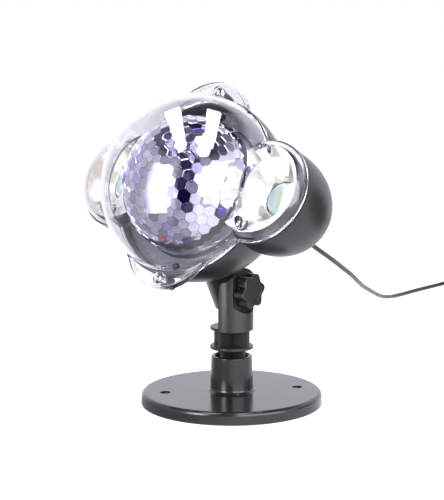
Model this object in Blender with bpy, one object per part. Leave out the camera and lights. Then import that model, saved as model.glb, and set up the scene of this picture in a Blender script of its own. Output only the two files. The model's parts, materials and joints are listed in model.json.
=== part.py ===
"""Light projector on a round stand: a globe head with a faceted mirror ball between two lamps.

Sizes are in millimetres. Each piece is scaled to metres when it is named.
World frame: +Z up, origin at the middle of the base disc's underside, on the floor.
The head faces -Y and is pitched up. It tilts about an axis along X, with the clamp knob at +X.
Head frame: X to the right as in the world, Y up the rim plane, Z forward out of the dome,
with its origin in the middle of the rim plane, where the housing meets the cover.
"""

import math

import bmesh
import bpy
from mathutils import Matrix, Vector

MM = 0.001
GAP = 0.3
CLOSE = 0.002
SIDES = [(2.0, 8), (5.0, 12), (9.0, 16), (13.0, 20), (36.0, 24)]

# Stand
BASE_RADIUS = 62.5
BASE_RIM_HEIGHT = 7.9
BASE_CENTRE_HEIGHT = 9.7
BASE_WALL = 2.4
SOCKET_TOP = 33.4
SOCKET_RADIUS = 14.1
SOCKET_FOOT_RADIUS = 14.9
SOCKET_BORE = 11.7
SOCKET_FLOOR = 3.0
SCREW_CIRCLE = 46.3
SCREW_ANGLE = math.radians(48)
BASE_RIBS = 6

# Swivel post and its joint with the head
PLUG_RADIUS = 11.2
PLUG_BOTTOM = 7.0
RIB_THICKNESS = 2.6
LOWER_FLANGE = (38.5, 40.5)
UPPER_FLANGE = (52.0, 54.0)
FLANGE_RADIUS = 15.2
COLUMN_RADIUS = 15.0
PIVOT_HEIGHT = 79.8
SEAT = 10.0
BOLT_RADIUS = 2.8
BOLT_HOLE = 3.2
KNOB_RADIUS = 11.1
KNOB_WAVE = 1.2
KNOB_LOBES = 6
KNOB_BACK = 11.4
KNOB_DEPTH = 8.0

# Head
HEAD_PITCH = math.radians(27.2)
STEM_LEAN = math.radians(28.4)
STEM_REACH = 82.8
GLOBE_RADIUS = 62.2
GLOBE_CENTRE = -2.0
SHELL_WALL = 2.4
LOBE_OFFSET = 57.7
LOBE_RADIUS = 34.5
LOBE_STRAIGHT = 14.5
LOBE_END = 43.0
EAR_OFFSET = 39.0
EAR_RADIUS = 33.5
EAR_FILLET = 12.0
EAR_SCREW = 65.5
COVER_BOTTOM = 1.4
FLANGE_TOP = 3.4
EAR_TOP = 6.4
COVER_WALL = 2.2
DOME_CENTRE = 2.5
DOME_RADIUS = 61.0
DOME_DEPTH = 55.5
LOBE_COVER_RADIUS = 33.5
LOBE_COVER_DEPTH = 19.5
BOSS_PLACES = [(side * 57.0, up * 24.5) for side in (-1, 1) for up in (-1, 1)]
BOSS_RADIUS = 3.4
SCREW_SHOULDER = -7.0

# Inside the head
BALL_RADIUS = 46.5
BALL_WALL = 1.8
BALL_DETAIL = 3
HUB_HOLE = 5.0
MOTOR_FRONT = -50.6
MOTOR_BACK = -57.2
MOTOR_RADIUS = 15.0
MOTOR_SCREW = 20.0
BEZEL = (-10.0, -8.4)
BEZEL_SCREW = 53.5
LAMP_OFFSET = 66.8
LAMP_WIDE = 19.0
LAMP_TALL = 22.5
LAMP_FRONT = 8.0
LAMP_BACK = -9.0
LENS_RADIUS = 11.2
BOARD_RADIUS = 12.8
SINK_BACK = -29.0
GLAND_UP = 14.0
GLAND_SEAT = -64.6
GLAND_HOLE = 4.3
GLAND_INSIDE = -59.0
DRIVER_REACH = 53.6
DRIVER_ANGLE = math.radians(-133)

# Power cord
CORD_RADIUS = 1.75
GLAND_TAIL = 21.4
COIL_CENTRE = (-95.0, 524.7)
COIL_MIDDLE = 20.0
COIL_WIDTH = 17.8
COIL_LOW, COIL_HIGH = 0.8, 14.8
TIE_WALL = 0.5
TIE_WIDTH = 5.0
ADAPTER_MIDDLE = (-35.0, 477.0)
ADAPTER_SIZE = (42.0, 62.0, 28.0)
ADAPTER_CORD_HEIGHT = 10.0
CORD_ROUTE = [
    (0.0, 42.1, 126.5), (0.0, 52.5, 121.2), (0.0, 65.0, 114.7), (0.0, 78.0, 107.9),
    (0.0, 91.0, 101.0), (-1.0, 105.0, 93.8), (-3.0, 120.0, 86.8), (-6.5, 136.0, 79.8),
    (-11.0, 151.0, 73.6), (-16.5, 167.0, 67.5), (-23.0, 183.0, 61.8), (-37.5, 213.0, 51.5),
    (-52.5, 243.0, 42.0), (-67.0, 274.0, 33.0), (-82.0, 305.0, 24.3), (-96.5, 336.0, 15.8),
    (-110.0, 367.0, 8.4), (-119.0, 395.0, 3.6), (-123.0, 420.0, 1.9), (-123.6, 445.0, 1.8),
    (-123.0, 470.0, 1.8), (-122.2, 493.0, 1.9), (-122.0, 509.6, 2.2),
]
TAIL_ROUTE = [
    (-80.2, 551.8, 11.8), (-71.0, 552.1, 8.2), (-61.0, 552.2, 4.6), (-51.0, 550.2, 2.8),
    (-42.5, 545.0, 3.2), (-37.3, 537.0, 5.6), (-35.2, 529.0, 8.4), (-35.0, 522.8, 10.0),
]


# ---------------------------------------------------------------- tools


def clear_scene():
    for thing in list(bpy.data.objects):
        bpy.data.objects.remove(thing, do_unlink=True)


def finish(name, colour, roughness, metallic=0.0, alpha=1.0):
    """A plain Principled material in the piece's own colour."""
    made = bpy.data.materials.new(name)
    made.use_nodes = True
    shader = made.node_tree.nodes["Principled BSDF"]
    shader.inputs["Base Color"].default_value = (*colour, 1.0)
    shader.inputs["Roughness"].default_value = roughness
    shader.inputs["Metallic"].default_value = metallic
    shader.inputs["Alpha"].default_value = alpha
    return made


def to_object(bm, name="shape"):
    """The finished mesh as an object, still in millimetres, with its faces pointing out."""
    bmesh.ops.recalc_face_normals(bm, faces=bm.faces)
    mesh = bpy.data.meshes.new(name)
    bm.to_mesh(mesh)
    bm.free()
    made = bpy.data.objects.new(name, mesh)
    bpy.context.collection.objects.link(made)
    return made


def move(thing, offset=(0, 0, 0), turn=None):
    """Shift a shape's mesh by millimetres, after turning it by a rotation matrix."""
    matrix = Matrix.Translation(Vector(offset))
    thing.data.transform(matrix @ turn if turn else matrix)
    return thing


def about(axis, angle):
    return Matrix.Rotation(angle, 4, axis)


def sides_for(radius):
    """How many flats stand in for a circle of this radius."""
    return next((sides for limit, sides in SIDES if radius <= limit), 36)


def turned(profile, closed=False):
    """A body turned about Z from (radius, height) points that run down its outer side."""
    segments = sides_for(max(radius for radius, height in profile))
    bm = bmesh.new()
    verts = [bm.verts.new((radius, 0, height)) for radius, height in profile]
    pairs = list(zip(verts, verts[1:])) + ([(verts[-1], verts[0])] if closed else [])
    edges = [bm.edges.new(pair) for pair in pairs]
    bmesh.ops.spin(
        bm, geom=verts + edges, cent=(0, 0, 0), axis=(0, 0, 1),
        angle=math.tau, steps=segments, use_merge=True,
    )
    bmesh.ops.remove_doubles(bm, verts=bm.verts, dist=1e-4)
    return to_object(bm)


def disc(radius, low, high, centre=(0, 0)):
    profile = [(0, high), (radius, high), (radius, low), (0, low)]
    return move(turned(profile), (*centre, 0))


def ring(inner, outer, low, high):
    return turned([(outer, high), (outer, low), (inner, low), (inner, high)], closed=True)


def prism(outline, low, high):
    """An outline in XY, as a solid between two heights."""
    bm = bmesh.new()
    face = bm.faces.new([bm.verts.new((x, y, low)) for x, y in outline])
    grown = bmesh.ops.extrude_face_region(bm, geom=[face])["geom"]
    raised = [g for g in grown if isinstance(g, bmesh.types.BMVert)]
    bmesh.ops.translate(bm, verts=raised, vec=(0, 0, high - low))
    return to_object(bm)


def block(low, high, bevel=0.0):
    """A box between two corners, with its edges rounded if a bevel is given."""
    low, high = Vector(low), Vector(high)
    bm = bmesh.new()
    bmesh.ops.create_cube(bm, size=1)
    bmesh.ops.scale(bm, verts=bm.verts, vec=high - low)
    bmesh.ops.translate(bm, verts=bm.verts, vec=(low + high) / 2)
    if bevel:
        bmesh.ops.bevel(bm, geom=bm.edges[:], offset=bevel, segments=2, profile=0.5, affect="EDGES")
    return to_object(bm)


def combine(base, tools, operation):
    """Apply one Boolean for each tool to the base in turn, and remove the tools."""
    for tool in tools:
        modifier = base.modifiers.new(operation, "BOOLEAN")
        modifier.operation = operation
        modifier.object = tool
        bpy.context.view_layer.update()
        evaluated = base.evaluated_get(bpy.context.evaluated_depsgraph_get())
        mesh = bpy.data.meshes.new_from_object(evaluated)
        base.modifiers.clear()
        base.data = mesh
        bpy.data.objects.remove(tool, do_unlink=True)
        bm = bmesh.new()
        bm.from_mesh(mesh)
        bmesh.ops.remove_doubles(bm, verts=bm.verts, dist=CLOSE)
        bmesh.ops.dissolve_degenerate(bm, edges=bm.edges, dist=CLOSE)
        bm.to_mesh(mesh)
        bm.free()
    return base


def join(first, *others):
    return combine(first, others, "UNION")


def cut(first, *others):
    return combine(first, others, "DIFFERENCE")


def name_piece(thing, name, surface, parent=None, smooth=math.radians(32)):
    """Scale a finished solid to metres and give it its name, material, shading and parent."""
    thing.data.transform(Matrix.Scale(MM, 4))
    thing.name = thing.data.name = name
    thing.data.materials.clear()
    thing.data.materials.append(surface)
    if thing.type == "MESH":
        thing.data.shade_smooth()
        thing.data.set_sharp_from_angle(angle=smooth)
    thing.parent = parent
    return thing


def frame_empty(name, place, turn=(0, 0, 0), parent=None):
    empty = bpy.data.objects.new(name, None)
    empty.location = Vector(place) * MM
    empty.rotation_euler = turn
    empty.parent = parent
    bpy.context.collection.objects.link(empty)
    return empty


def smooth_points(points, step):
    """Points at about an even step along a smooth curve through the given ones."""
    knots = [Vector(p) for p in points]
    knots = [2 * knots[0] - knots[1], *knots, 2 * knots[-1] - knots[-2]]
    fine = []
    for a, b, c, d in zip(knots, knots[1:], knots[2:], knots[3:]):
        for k in range(16):
            t = k / 16
            fine.append(
                0.5 * (2 * b + (c - a) * t + (2 * a - 5 * b + 4 * c - d) * t**2
                       + (3 * b - a - 3 * c + d) * t**3)
            )
    fine.append(knots[-2])
    length = sum((q - p).length for p, q in zip(fine, fine[1:]))
    count = max(4, round(length / step))
    spaced, walked, wanted = [fine[0]], 0.0, length / count
    for p, q in zip(fine, fine[1:]):
        run = (q - p).length
        while walked + run >= wanted and len(spaced) < count:
            spaced.append(p.lerp(q, (wanted - walked) / run))
            wanted += length / count
        walked += run
    return [*spaced, fine[-1]]


def tube(points, radius, step):
    """A round cord through the points, as a curve with capped ends."""
    curve = bpy.data.curves.new("tube", "CURVE")
    curve.dimensions = "3D"
    curve.bevel_depth = radius
    curve.bevel_resolution = 2
    curve.use_fill_caps = True
    places = smooth_points(points, step)
    spline = curve.splines.new("POLY")
    spline.points.add(len(places) - 1)
    for point, place in zip(spline.points, places):
        point.co = (*place, 1.0)
    made = bpy.data.objects.new("tube", curve)
    bpy.context.collection.objects.link(made)
    return made


def arc(centre, radius, start, end, steps):
    """Points on an arc in a plane, from one angle to another in radians."""
    return [
        (centre[0] + radius * math.cos(a), centre[1] + radius * math.sin(a))
        for a in (start + (end - start) * k / steps for k in range(steps + 1))
    ]


# ---------------------------------------------------------------- stand


def base_disc(surface):
    """A shallow moulded dish on ribs, with a socket for the post and two countersunk screw holes."""
    under = BASE_RIM_HEIGHT - BASE_WALL
    crown = BASE_CENTRE_HEIGHT - BASE_WALL
    outside = [
        (0, SOCKET_TOP), (SOCKET_RADIUS - 0.7, SOCKET_TOP), (SOCKET_RADIUS, SOCKET_TOP - 0.7),
        (SOCKET_FOOT_RADIUS, 12.4), (SOCKET_FOOT_RADIUS + 0.9, 10.6), (18.2, BASE_CENTRE_HEIGHT),
        (40.0, 9.0), (BASE_RADIUS - 2.6, BASE_RIM_HEIGHT + 0.1), (BASE_RADIUS - 0.9, BASE_RIM_HEIGHT - 0.7),
        (BASE_RADIUS - 0.2, BASE_RIM_HEIGHT - 2.4), (BASE_RADIUS, 0.8), (BASE_RADIUS - 0.6, 0), (0, 0),
    ]
    disc_body = turned(outside)
    hollow = [
        (BASE_RADIUS - BASE_WALL, -1), (SOCKET_FOOT_RADIUS + 2, -1),
        (SOCKET_FOOT_RADIUS + 2, crown), (BASE_RADIUS - BASE_WALL, under),
    ]
    underside = turned(hollow, closed=True)
    ribs = []
    for k in range(BASE_RIBS):
        turn = about("Z", SCREW_ANGLE + math.pi * k / BASE_RIBS + math.pi / 2 / BASE_RIBS)
        rib = block((-BASE_RADIUS, -1, 0.8), (BASE_RADIUS, 1, 12))
        ribs.append(move(rib, turn=turn))
    holes = []
    for side in (-1, 1):
        place = Vector((math.cos(SCREW_ANGLE), math.sin(SCREW_ANGLE))) * SCREW_CIRCLE * side
        ribs.append(disc(5.5, 0, 12, place))
        holes.append(disc(2.25, -2, 12, place))
        sink = turned([(0, 12), (4.6, 12), (4.6, 8.4), (2.0, 5.6), (0, 5.6)])
        holes.append(move(sink, (*place, 0)))
    cut(underside, *ribs)
    bore = turned([(0, 40), (SOCKET_BORE, 40), (SOCKET_BORE, SOCKET_FLOOR), (0, SOCKET_FLOOR)])
    return name_piece(cut(disc_body, underside, bore, *holes), "base_disc", surface)


def half_column(side, length):
    """Half of a round column on one side of X = 0, with a rounded end below the pivot at the origin."""
    reach = COLUMN_RADIUS + 0.2
    outline = [(reach, length), *arc((0, 0), reach, 0, -math.pi, 16), (-reach, length)]
    near, far = sorted((side * 0.15, side * (COLUMN_RADIUS + 1)))
    slab = move(prism(outline, near, far), turn=Matrix(((0, 0, 1, 0), (1, 0, 0, 0), (0, 1, 0, 0), (0, 0, 0, 1))))
    column = disc(COLUMN_RADIUS, -COLUMN_RADIUS - 1, length + 1)
    return combine(slab, [column], "INTERSECT")


def along_x(thing):
    """Turn a body made about Z so that its axis lies along +X."""
    return move(thing, turn=about("Y", math.pi / 2))


def swivel_post(surface, parent):
    """One moulding: ribbed plug, two flanges, and the half column that holds the tilt bolt."""
    low, high = LOWER_FLANGE[0], UPPER_FLANGE[1]
    body = disc(FLANGE_RADIUS, *LOWER_FLANGE)
    upper = disc(FLANGE_RADIUS, *UPPER_FLANGE)
    parts = [upper]
    for angle in (0, math.pi / 2):
        half = RIB_THICKNESS / 2
        spread = 0.8 * angle / math.pi
        plug = block((-PLUG_RADIUS, -half, PLUG_BOTTOM + spread), (PLUG_RADIUS, half, low + 1))
        web = block(
            (-FLANGE_RADIUS + 0.6 + spread, -half, low + 0.5), (FLANGE_RADIUS - 0.6 - spread, half, high - 0.5)
        )
        parts += [move(plug, turn=about("Z", angle)), move(web, turn=about("Z", angle))]
    column = half_column(1, PIVOT_HEIGHT - UPPER_FLANGE[0] - 0.4)
    parts.append(move(column, (0, 0, PIVOT_HEIGHT), about("X", math.pi)))
    join(body, *parts)
    seat = move(along_x(disc(COLUMN_RADIUS + 0.5, SEAT, 20)), (0, 0, PIVOT_HEIGHT))
    hole = move(along_x(disc(BOLT_HOLE, -2, 20)), (0, 0, PIVOT_HEIGHT))
    core = block((-1, -9, UPPER_FLANGE[1] + 1.5), (8.5, 9, PIVOT_HEIGHT - COLUMN_RADIUS + 1))
    return name_piece(cut(body, seat, hole, core), "swivel_post", surface, parent)


def clamp_parts(steel, brass, surface, parent):
    """The captive bolt, the washer, and the lobed knob with its brass insert, made about +Z."""
    hexagon = [(5.75 * math.cos(k * math.tau / 6), 5.75 * math.sin(k * math.tau / 6)) for k in range(6)]
    bolt = join(prism(hexagon, -13.2, -9.3), disc(BOLT_RADIUS, -10, 17.6))
    name_piece(move(bolt, turn=about("Z", STEM_LEAN)), "tilt_bolt", steel, parent)
    name_piece(ring(BOLT_HOLE, 6.0, SEAT + GAP, SEAT + GAP + 0.8), "friction_washer", steel, parent)
    insert = ring(BOLT_RADIUS + 0.1, 4.4, KNOB_BACK + 0.2, KNOB_BACK + 6.0)
    name_piece(insert, "knob_insert", brass, parent)
    steps = 6 * KNOB_LOBES
    outline = []
    for k in range(steps):
        angle = math.tau * k / steps
        reach = KNOB_RADIUS + KNOB_WAVE * math.cos(KNOB_LOBES * angle - math.radians(60))
        outline.append((reach * math.cos(angle), reach * math.sin(angle)))
    front = KNOB_BACK + KNOB_DEPTH
    knob = prism(outline, KNOB_BACK, front)
    dish = turned([(0, front + 1), (9.2, front + 1), (8.9, front - 0.7), (0, front - 1.2)])
    pocket = disc(4.7, KNOB_BACK - 1, KNOB_BACK + 6.3)
    core = ring(5.9, 8.6, KNOB_BACK - 1, KNOB_BACK + 5.0)
    return name_piece(cut(knob, dish, pocket, core), "clamp_knob", surface, parent)


# ---------------------------------------------------------------- head shells


def ellipse_profile(radius, depth, level, steps, start=0.0):
    """(radius, height) points from a pole above the level down to the widest place."""
    return [
        (radius * math.sin(a), level + depth * math.cos(a))
        for a in (start + (math.pi / 2 - start) * k / steps for k in range(steps + 1))
    ]


def back_shape(wall, top):
    """The solid of the housing's outside, or its inside for a given wall, open upwards to the top."""
    radius = GLOBE_RADIUS - wall
    bowl = [(r, 2 * GLOBE_CENTRE - z) for r, z in ellipse_profile(radius, radius, GLOBE_CENTRE, 8)]
    globe = turned([(0, top), (radius, top), *reversed(bowl)])
    lobes = []
    for side in (-1, 1):
        radius = LOBE_RADIUS - wall
        end = [(r, -2 * LOBE_STRAIGHT - z)
               for r, z in ellipse_profile(radius, LOBE_END - wall, -LOBE_STRAIGHT, 5)]
        lobe = turned([(0, top + 0.3), (radius, top + 0.3), *reversed(end)])
        lobes.append(move(lobe, (side * LOBE_OFFSET, 0, 0)))
    return join(globe, *lobes)


def stem_matrix():
    """The stem's own frame, with Z from the pivot towards the globe, seen from the head frame."""
    angle = HEAD_PITCH + STEM_LEAN
    pivot = Vector((0, -math.cos(angle), -math.sin(angle))) * STEM_REACH + Vector((0, 0, GLOBE_CENTRE))
    return Matrix.Translation(pivot) @ Matrix.Rotation(angle - math.pi / 2, 4, "X")


def rear_housing(surface, parent):
    """The black back shell, with the half stem, screw towers and the posts that hold the inner pieces."""
    outer = back_shape(0, 2)
    stem = half_column(-1, STEM_REACH - GLOBE_RADIUS + 12)
    stem.data.transform(stem_matrix())
    gland_seat = disc(7.5, GLAND_SEAT, -50, (0, GLAND_UP))
    towers = []
    for up in (-1, 1):
        tower = turned([(0, 2), (4.6, 2), (4.6, -9), (2.4, -15), (0, -15)])
        towers.append(move(tower, (0, up * EAR_SCREW, 0)))
    join(outer, stem, gland_seat, *towers)

    cavity = back_shape(SHELL_WALL, 4)
    posts = [disc(BOSS_RADIUS + 0.9, -60, 6, place) for place in BOSS_PLACES]
    for side in (-1, 1):
        posts.append(disc(3.0, -70, MOTOR_FRONT - 1.5, (side * MOTOR_SCREW, 0)))
        posts.append(disc(3.0, -60, BEZEL[0] - GAP, (0, side * BEZEL_SCREW)))
        posts.append(disc(4.5, -70, SINK_BACK - GAP, (side * LAMP_OFFSET, 0)))
        rest = disc(2.2, DRIVER_REACH + 1.1, 70, (side * 9.0, 0))
        posts.append(move(rest, turn=about("X", DRIVER_ANGLE)))
    posts.append(disc(7.0, -70, GLAND_INSIDE + 1, (0, GLAND_UP)))
    cut(cavity, *posts)

    tools = [cavity, block((-120, -90, 0), (120, 90, 9)), disc(GLAND_HOLE, -70, -50, (0, GLAND_UP))]
    tools.append(disc(6.0, GLAND_INSIDE, -52, (0, GLAND_UP)))
    tools += [screw_bore(place, -70, 3.0) for place in BOSS_PLACES]
    tools += [screw_bore((0, side * EAR_SCREW), -30, 3.2) for side in (-1, 1)]
    cut(outer, *tools)
    hexagon = [(6.1 * math.cos(k * math.tau / 6), 6.1 * math.sin(k * math.tau / 6)) for k in range(6)]
    bolt_space = [along_x(prism(hexagon, -20, -9)), along_x(disc(BOLT_HOLE, -12, 3))]
    for tool in bolt_space:
        tool.data.transform(stem_matrix())
    return name_piece(cut(outer, *bolt_space), "rear_housing", surface, parent)


def ear_outline(inset, side):
    """One ear with hollow fillets where it leaves the round rim; inset moves every edge inwards."""
    rim, ear, fillet = GLOBE_RADIUS - inset, EAR_RADIUS - inset, EAR_FILLET + inset
    up = ((rim + fillet) ** 2 - (ear + fillet) ** 2 + EAR_OFFSET**2) / (2 * EAR_OFFSET)
    across = math.sqrt((rim + fillet) ** 2 - up**2)
    on_ear = math.atan2(up - EAR_OFFSET, across)
    on_rim = math.atan2(up, across)
    right = arc((across, up), fillet, math.pi + on_rim, math.pi + on_ear, 4)
    crown = arc((0, EAR_OFFSET), ear, on_ear, math.pi - on_ear, 18)[1:-1]
    left = [(-x, y) for x, y in reversed(right)]
    points = [(20, 30), *right, *crown, *left, (-20, 30)]
    return points if side > 0 else [(-x, -y) for x, y in points]


def front_shape(wall, low):
    """The solid of the cover's outside, or its inside for a given wall, open downwards to the low end."""
    radius, depth = DOME_RADIUS - wall, DOME_DEPTH - wall
    dome = turned([*ellipse_profile(radius, depth, DOME_CENTRE, 8), (radius, low), (0, low)])
    parts = []
    for side in (-1, 1):
        radius, depth = LOBE_COVER_RADIUS - wall, LOBE_COVER_DEPTH - wall
        profile = [*ellipse_profile(radius, depth, DOME_CENTRE + 0.1, 5), (radius, low - 0.3), (0, low - 0.3)]
        parts.append(move(turned(profile), (side * LOBE_OFFSET, 0, 0)))
        inset = 0 if not wall else wall - 0.3
        parts.append(prism(ear_outline(inset, side), low - 0.6, EAR_TOP - inset))
    return join(dome, *parts)


def front_cover(surface, parent):
    """The clear cover: dome, two lobe windows, ears, flange, and the bosses that the screws bite in."""
    outer = front_shape(0, -1)
    flanges = [disc(GLOBE_RADIUS, -1.3, FLANGE_TOP)]
    for side in (-1, 1):
        flanges.append(disc(LOBE_RADIUS, -1.5, FLANGE_TOP - 0.1, (side * LOBE_OFFSET, 0)))
    join(outer, *flanges)
    cavity = front_shape(COVER_WALL, -3)
    bosses = [disc(BOSS_RADIUS, -5, 40, place) for place in BOSS_PLACES]
    bosses += [disc(BOSS_RADIUS + 0.6, -5, 9, (0, side * EAR_SCREW)) for side in (-1, 1)]
    cut(cavity, *bosses)
    tools = [cavity, block((-120, -90, -9), (120, 90, COVER_BOTTOM))]
    for place in [*BOSS_PLACES, (0, EAR_SCREW), (0, -EAR_SCREW)]:
        tools.append(disc(1.5, -9, 4.9, place))
    return name_piece(cut(outer, *tools), "front_cover", surface, parent)


def rim_gasket(surface, parent):
    """The soft seal that follows the rim between the two shells."""
    low, high = GAP, COVER_BOTTOM - GAP

    def rim(inset, bottom, top):
        lobes = [
            disc(LOBE_RADIUS - inset, bottom - 0.1, top + 0.1, (side * LOBE_OFFSET, 0)) for side in (-1, 1)
        ]
        return join(disc(GLOBE_RADIUS - inset, bottom, top), *lobes)

    seal = cut(rim(0.4, low - 1, high + 1), rim(2.2, low - 3, high + 3))
    clear = [disc(BOSS_RADIUS + 1.2, -5, 5, place) for place in BOSS_PLACES]
    trims = [block((-120, -90, -5), (120, 90, low)), block((-120, -90, high), (120, 90, 5))]
    return name_piece(cut(seal, *trims, *clear), "rim_gasket", surface, parent)


def screw_bore(place, low, high, shoulder=None):
    """A cutter for a screw hole, wider below the shoulder so that the head can reach it."""
    shoulder = SCREW_SHOULDER if shoulder is None else shoulder
    profile = [(0, high), (1.7, high), (1.7, shoulder), (3.1, shoulder), (3.1, low), (0, low)]
    return move(turned(profile), (*place, 0))


def screw(name, place, seat, length, surface, parent):
    """A pan-head screw driven forwards from its seat."""
    head = [(0, seat + length), (1.2, seat + length - 0.8), (1.2, seat), (2.7, seat),
            (2.7, seat - 1.4), (1.8, seat - 2.1), (0, seat - 2.1)]
    return name_piece(move(turned(head), (*place, 0)), name, surface, parent)


# ---------------------------------------------------------------- inside the head


def mirror_ball(surface, parent):
    """A hollow ball of flat mirror facets, one for each corner of an even ball of triangles."""
    seed = bmesh.new()
    bmesh.ops.create_icosphere(seed, subdivisions=BALL_DETAIL, radius=BALL_RADIUS)
    bm = bmesh.new()
    corners = {f: bm.verts.new(f.calc_center_median().normalized() * BALL_RADIUS) for f in seed.faces}
    for vert in seed.verts:
        across = (vert.link_faces[0].calc_center_median() - vert.co).normalized()
        beside = vert.co.cross(across)

        def bearing(face, vert=vert, across=across, beside=beside):
            offset = face.calc_center_median() - vert.co
            return math.atan2(offset.dot(beside.normalized()), offset.dot(across))

        bm.faces.new([corners[f] for f in sorted(vert.link_faces, key=bearing)])
    seed.free()
    ball = to_object(bm)
    inner = bmesh.new()
    bmesh.ops.create_icosphere(inner, subdivisions=3, radius=BALL_RADIUS - BALL_WALL - 0.6)
    hole = disc(HUB_HOLE, -60, -30)
    return name_piece(cut(ball, to_object(inner), hole), "mirror_ball", surface, parent, math.radians(4))


def ball_drive(white, steel, dark, parent, moving):
    """The flat gear motor on the back wall, its shaft and the hub that carries the ball."""
    hub = [(4.6, -42.0), (4.6, -46.9), (9.0, -46.9), (9.0, -48.9), (1.8, -48.9), (1.8, -42.0)]
    name_piece(turned(hub, closed=True), "ball_hub", white, moving)
    name_piece(disc(1.5, MOTOR_FRONT + GAP, -41.5), "motor_shaft", steel, moving)
    case = disc(MOTOR_RADIUS, MOTOR_BACK, MOTOR_FRONT)
    ears = block((-MOTOR_SCREW - 3, -3.2, MOTOR_FRONT - 1.2), (MOTOR_SCREW + 3, 3.2, MOTOR_FRONT - 0.1))
    holes = [disc(1.6, -60, -40, (side * MOTOR_SCREW, 0)) for side in (-1, 1)]
    name_piece(cut(join(case, ears), *holes), "gear_motor", dark, parent)
    for side, word in ((-1, "left"), (1, "right")):
        head = [(0, MOTOR_FRONT + 1.7), (2.4, MOTOR_FRONT + 1.7), (2.4, MOTOR_FRONT + 0.2),
                (1.2, MOTOR_FRONT + 0.2), (1.2, MOTOR_FRONT - 1.2), (0, MOTOR_FRONT - 1.2)]
        name_piece(move(turned(head), (side * MOTOR_SCREW, 0, 0)), f"motor_screw_{word}", steel, parent)


def bezel_plate(surface, steel, parent):
    """The dark plate around the ball, which hides the electronics and carries the lamps' collars."""
    clear = SHELL_WALL + 1.4
    plate = disc(GLOBE_RADIUS - clear, *BEZEL)
    lobes = [
        disc(LOBE_RADIUS - clear, BEZEL[0] - 0.1, BEZEL[1] + 0.1, (side * LOBE_OFFSET, 0)) for side in (-1, 1)
    ]
    join(plate, *lobes)
    trims = [block((-120, -90, BEZEL[1]), (120, 90, 5)), block((-120, -90, -20), (120, 90, BEZEL[0]))]
    holes = [disc(BALL_RADIUS + 0.7, -20, 5)]
    holes += [disc(LENS_RADIUS + 2.4, -20, 5, (side * LAMP_OFFSET, 0)) for side in (-1, 1)]
    holes += [disc(BOSS_RADIUS + 1.4, -20, 5, place) for place in BOSS_PLACES]
    holes += [disc(1.6, -20, 5, (0, side * BEZEL_SCREW)) for side in (-1, 1)]
    name_piece(cut(plate, *trims, *holes), "bezel_plate", surface, parent)
    for side, word in ((-1, "lower"), (1, "upper")):
        head = [(0, BEZEL[1] + 1.7), (2.4, BEZEL[1] + 1.7), (2.4, BEZEL[1] + 0.2),
                (1.2, BEZEL[1] + 0.2), (1.2, BEZEL[0]), (0, BEZEL[0])]
        name_piece(move(turned(head), (0, side * BEZEL_SCREW, 0)), f"bezel_screw_{word}", steel, parent)


def lamp(side, word, chrome, clear, chip_colour, board_colour, aluminium, parent):
    """One side lamp: reflector, lens, chip, round board and finned heat sink, on one axis."""
    rise = LAMP_FRONT - LAMP_BACK
    wide = [(LENS_RADIUS + 0.5 + (LAMP_WIDE - LENS_RADIUS - 1.7) * t**0.6, LAMP_BACK + rise * t)
            for t in (0.0, 0.12, 0.3, 0.6, 1.0)]
    outer = [(r + 1.2, z) for r, z in reversed(wide)]
    bowl = turned([*outer, *wide], closed=True)
    for vert in bowl.data.vertices:
        share = (vert.co.z - LAMP_BACK) / rise
        vert.co.y *= 1 + (LAMP_TALL / LAMP_WIDE - 1) * share
    lens = turned([(0, -5.2), (5.0, -5.7), (9.0, -7.6), (LENS_RADIUS, -9.8), (LENS_RADIUS, -11.3), (0, -11.3)])
    chip = block((-4.5, -4.5, -12.9), (4.5, 4.5, -11.7))
    board = disc(BOARD_RADIUS, -14.7, -13.2)
    sink = disc(BOARD_RADIUS, SINK_BACK, -15.0)
    slots = [block((-20, k * 4.0 - 1.0, SINK_BACK - 2), (20, k * 4.0 + 1.0, -18.5)) for k in (-2, -1, 0, 1, 2)]
    cut(sink, *slots)
    for thing, name, surface in (
        (bowl, "lamp_reflector", chrome), (lens, "lamp_lens", clear), (chip, "lamp_chip", chip_colour),
        (board, "lamp_board", board_colour), (sink, "lamp_heat_sink", aluminium),
    ):
        name_piece(move(thing, (side * LAMP_OFFSET, 0, 0)), f"{name}_{word}", surface, parent)


def driver_board(board_colour, dark, parent):
    """The control board on two posts behind the ball, with its smoothing capacitor."""
    board = block((-16, -11, DRIVER_REACH - 0.7), (16, 11, DRIVER_REACH + 0.7))
    cap = move(disc(2.4, DRIVER_REACH - 4.8, DRIVER_REACH - 1.0), (10, 0, 0))
    for thing, name, surface in ((board, "driver_board", board_colour), (cap, "driver_capacitor", dark)):
        name_piece(move(thing, turn=about("X", DRIVER_ANGLE)), name, surface, parent)


def inner_wires(surface, parent):
    """Thin leads from the control board to the lamps and the motor, along the housing's wall."""
    start = about("X", DRIVER_ANGLE)
    for side, word in ((-1, "left"), (1, "right")):
        route = [
            start @ Vector((side * 13, -8, DRIVER_REACH - 1.9)), (side * 22, 34, -37), (side * 38, 27, -31),
            (side * 50, 18, -24), (side * 59.6, 11.8, -15.9),
        ]
        name_piece(tube(route, 0.8, 6), f"lamp_lead_{word}", surface, parent)
    route = [start @ Vector((3, 8.5, DRIVER_REACH - 1.9)), (5, 27.0, -49.0), (7, 21.5, -52.6), (6.4, 16.2, -54.0)]
    name_piece(tube(route, 0.8, 2.5), "motor_lead", surface, parent)


# ---------------------------------------------------------------- cord


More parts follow.
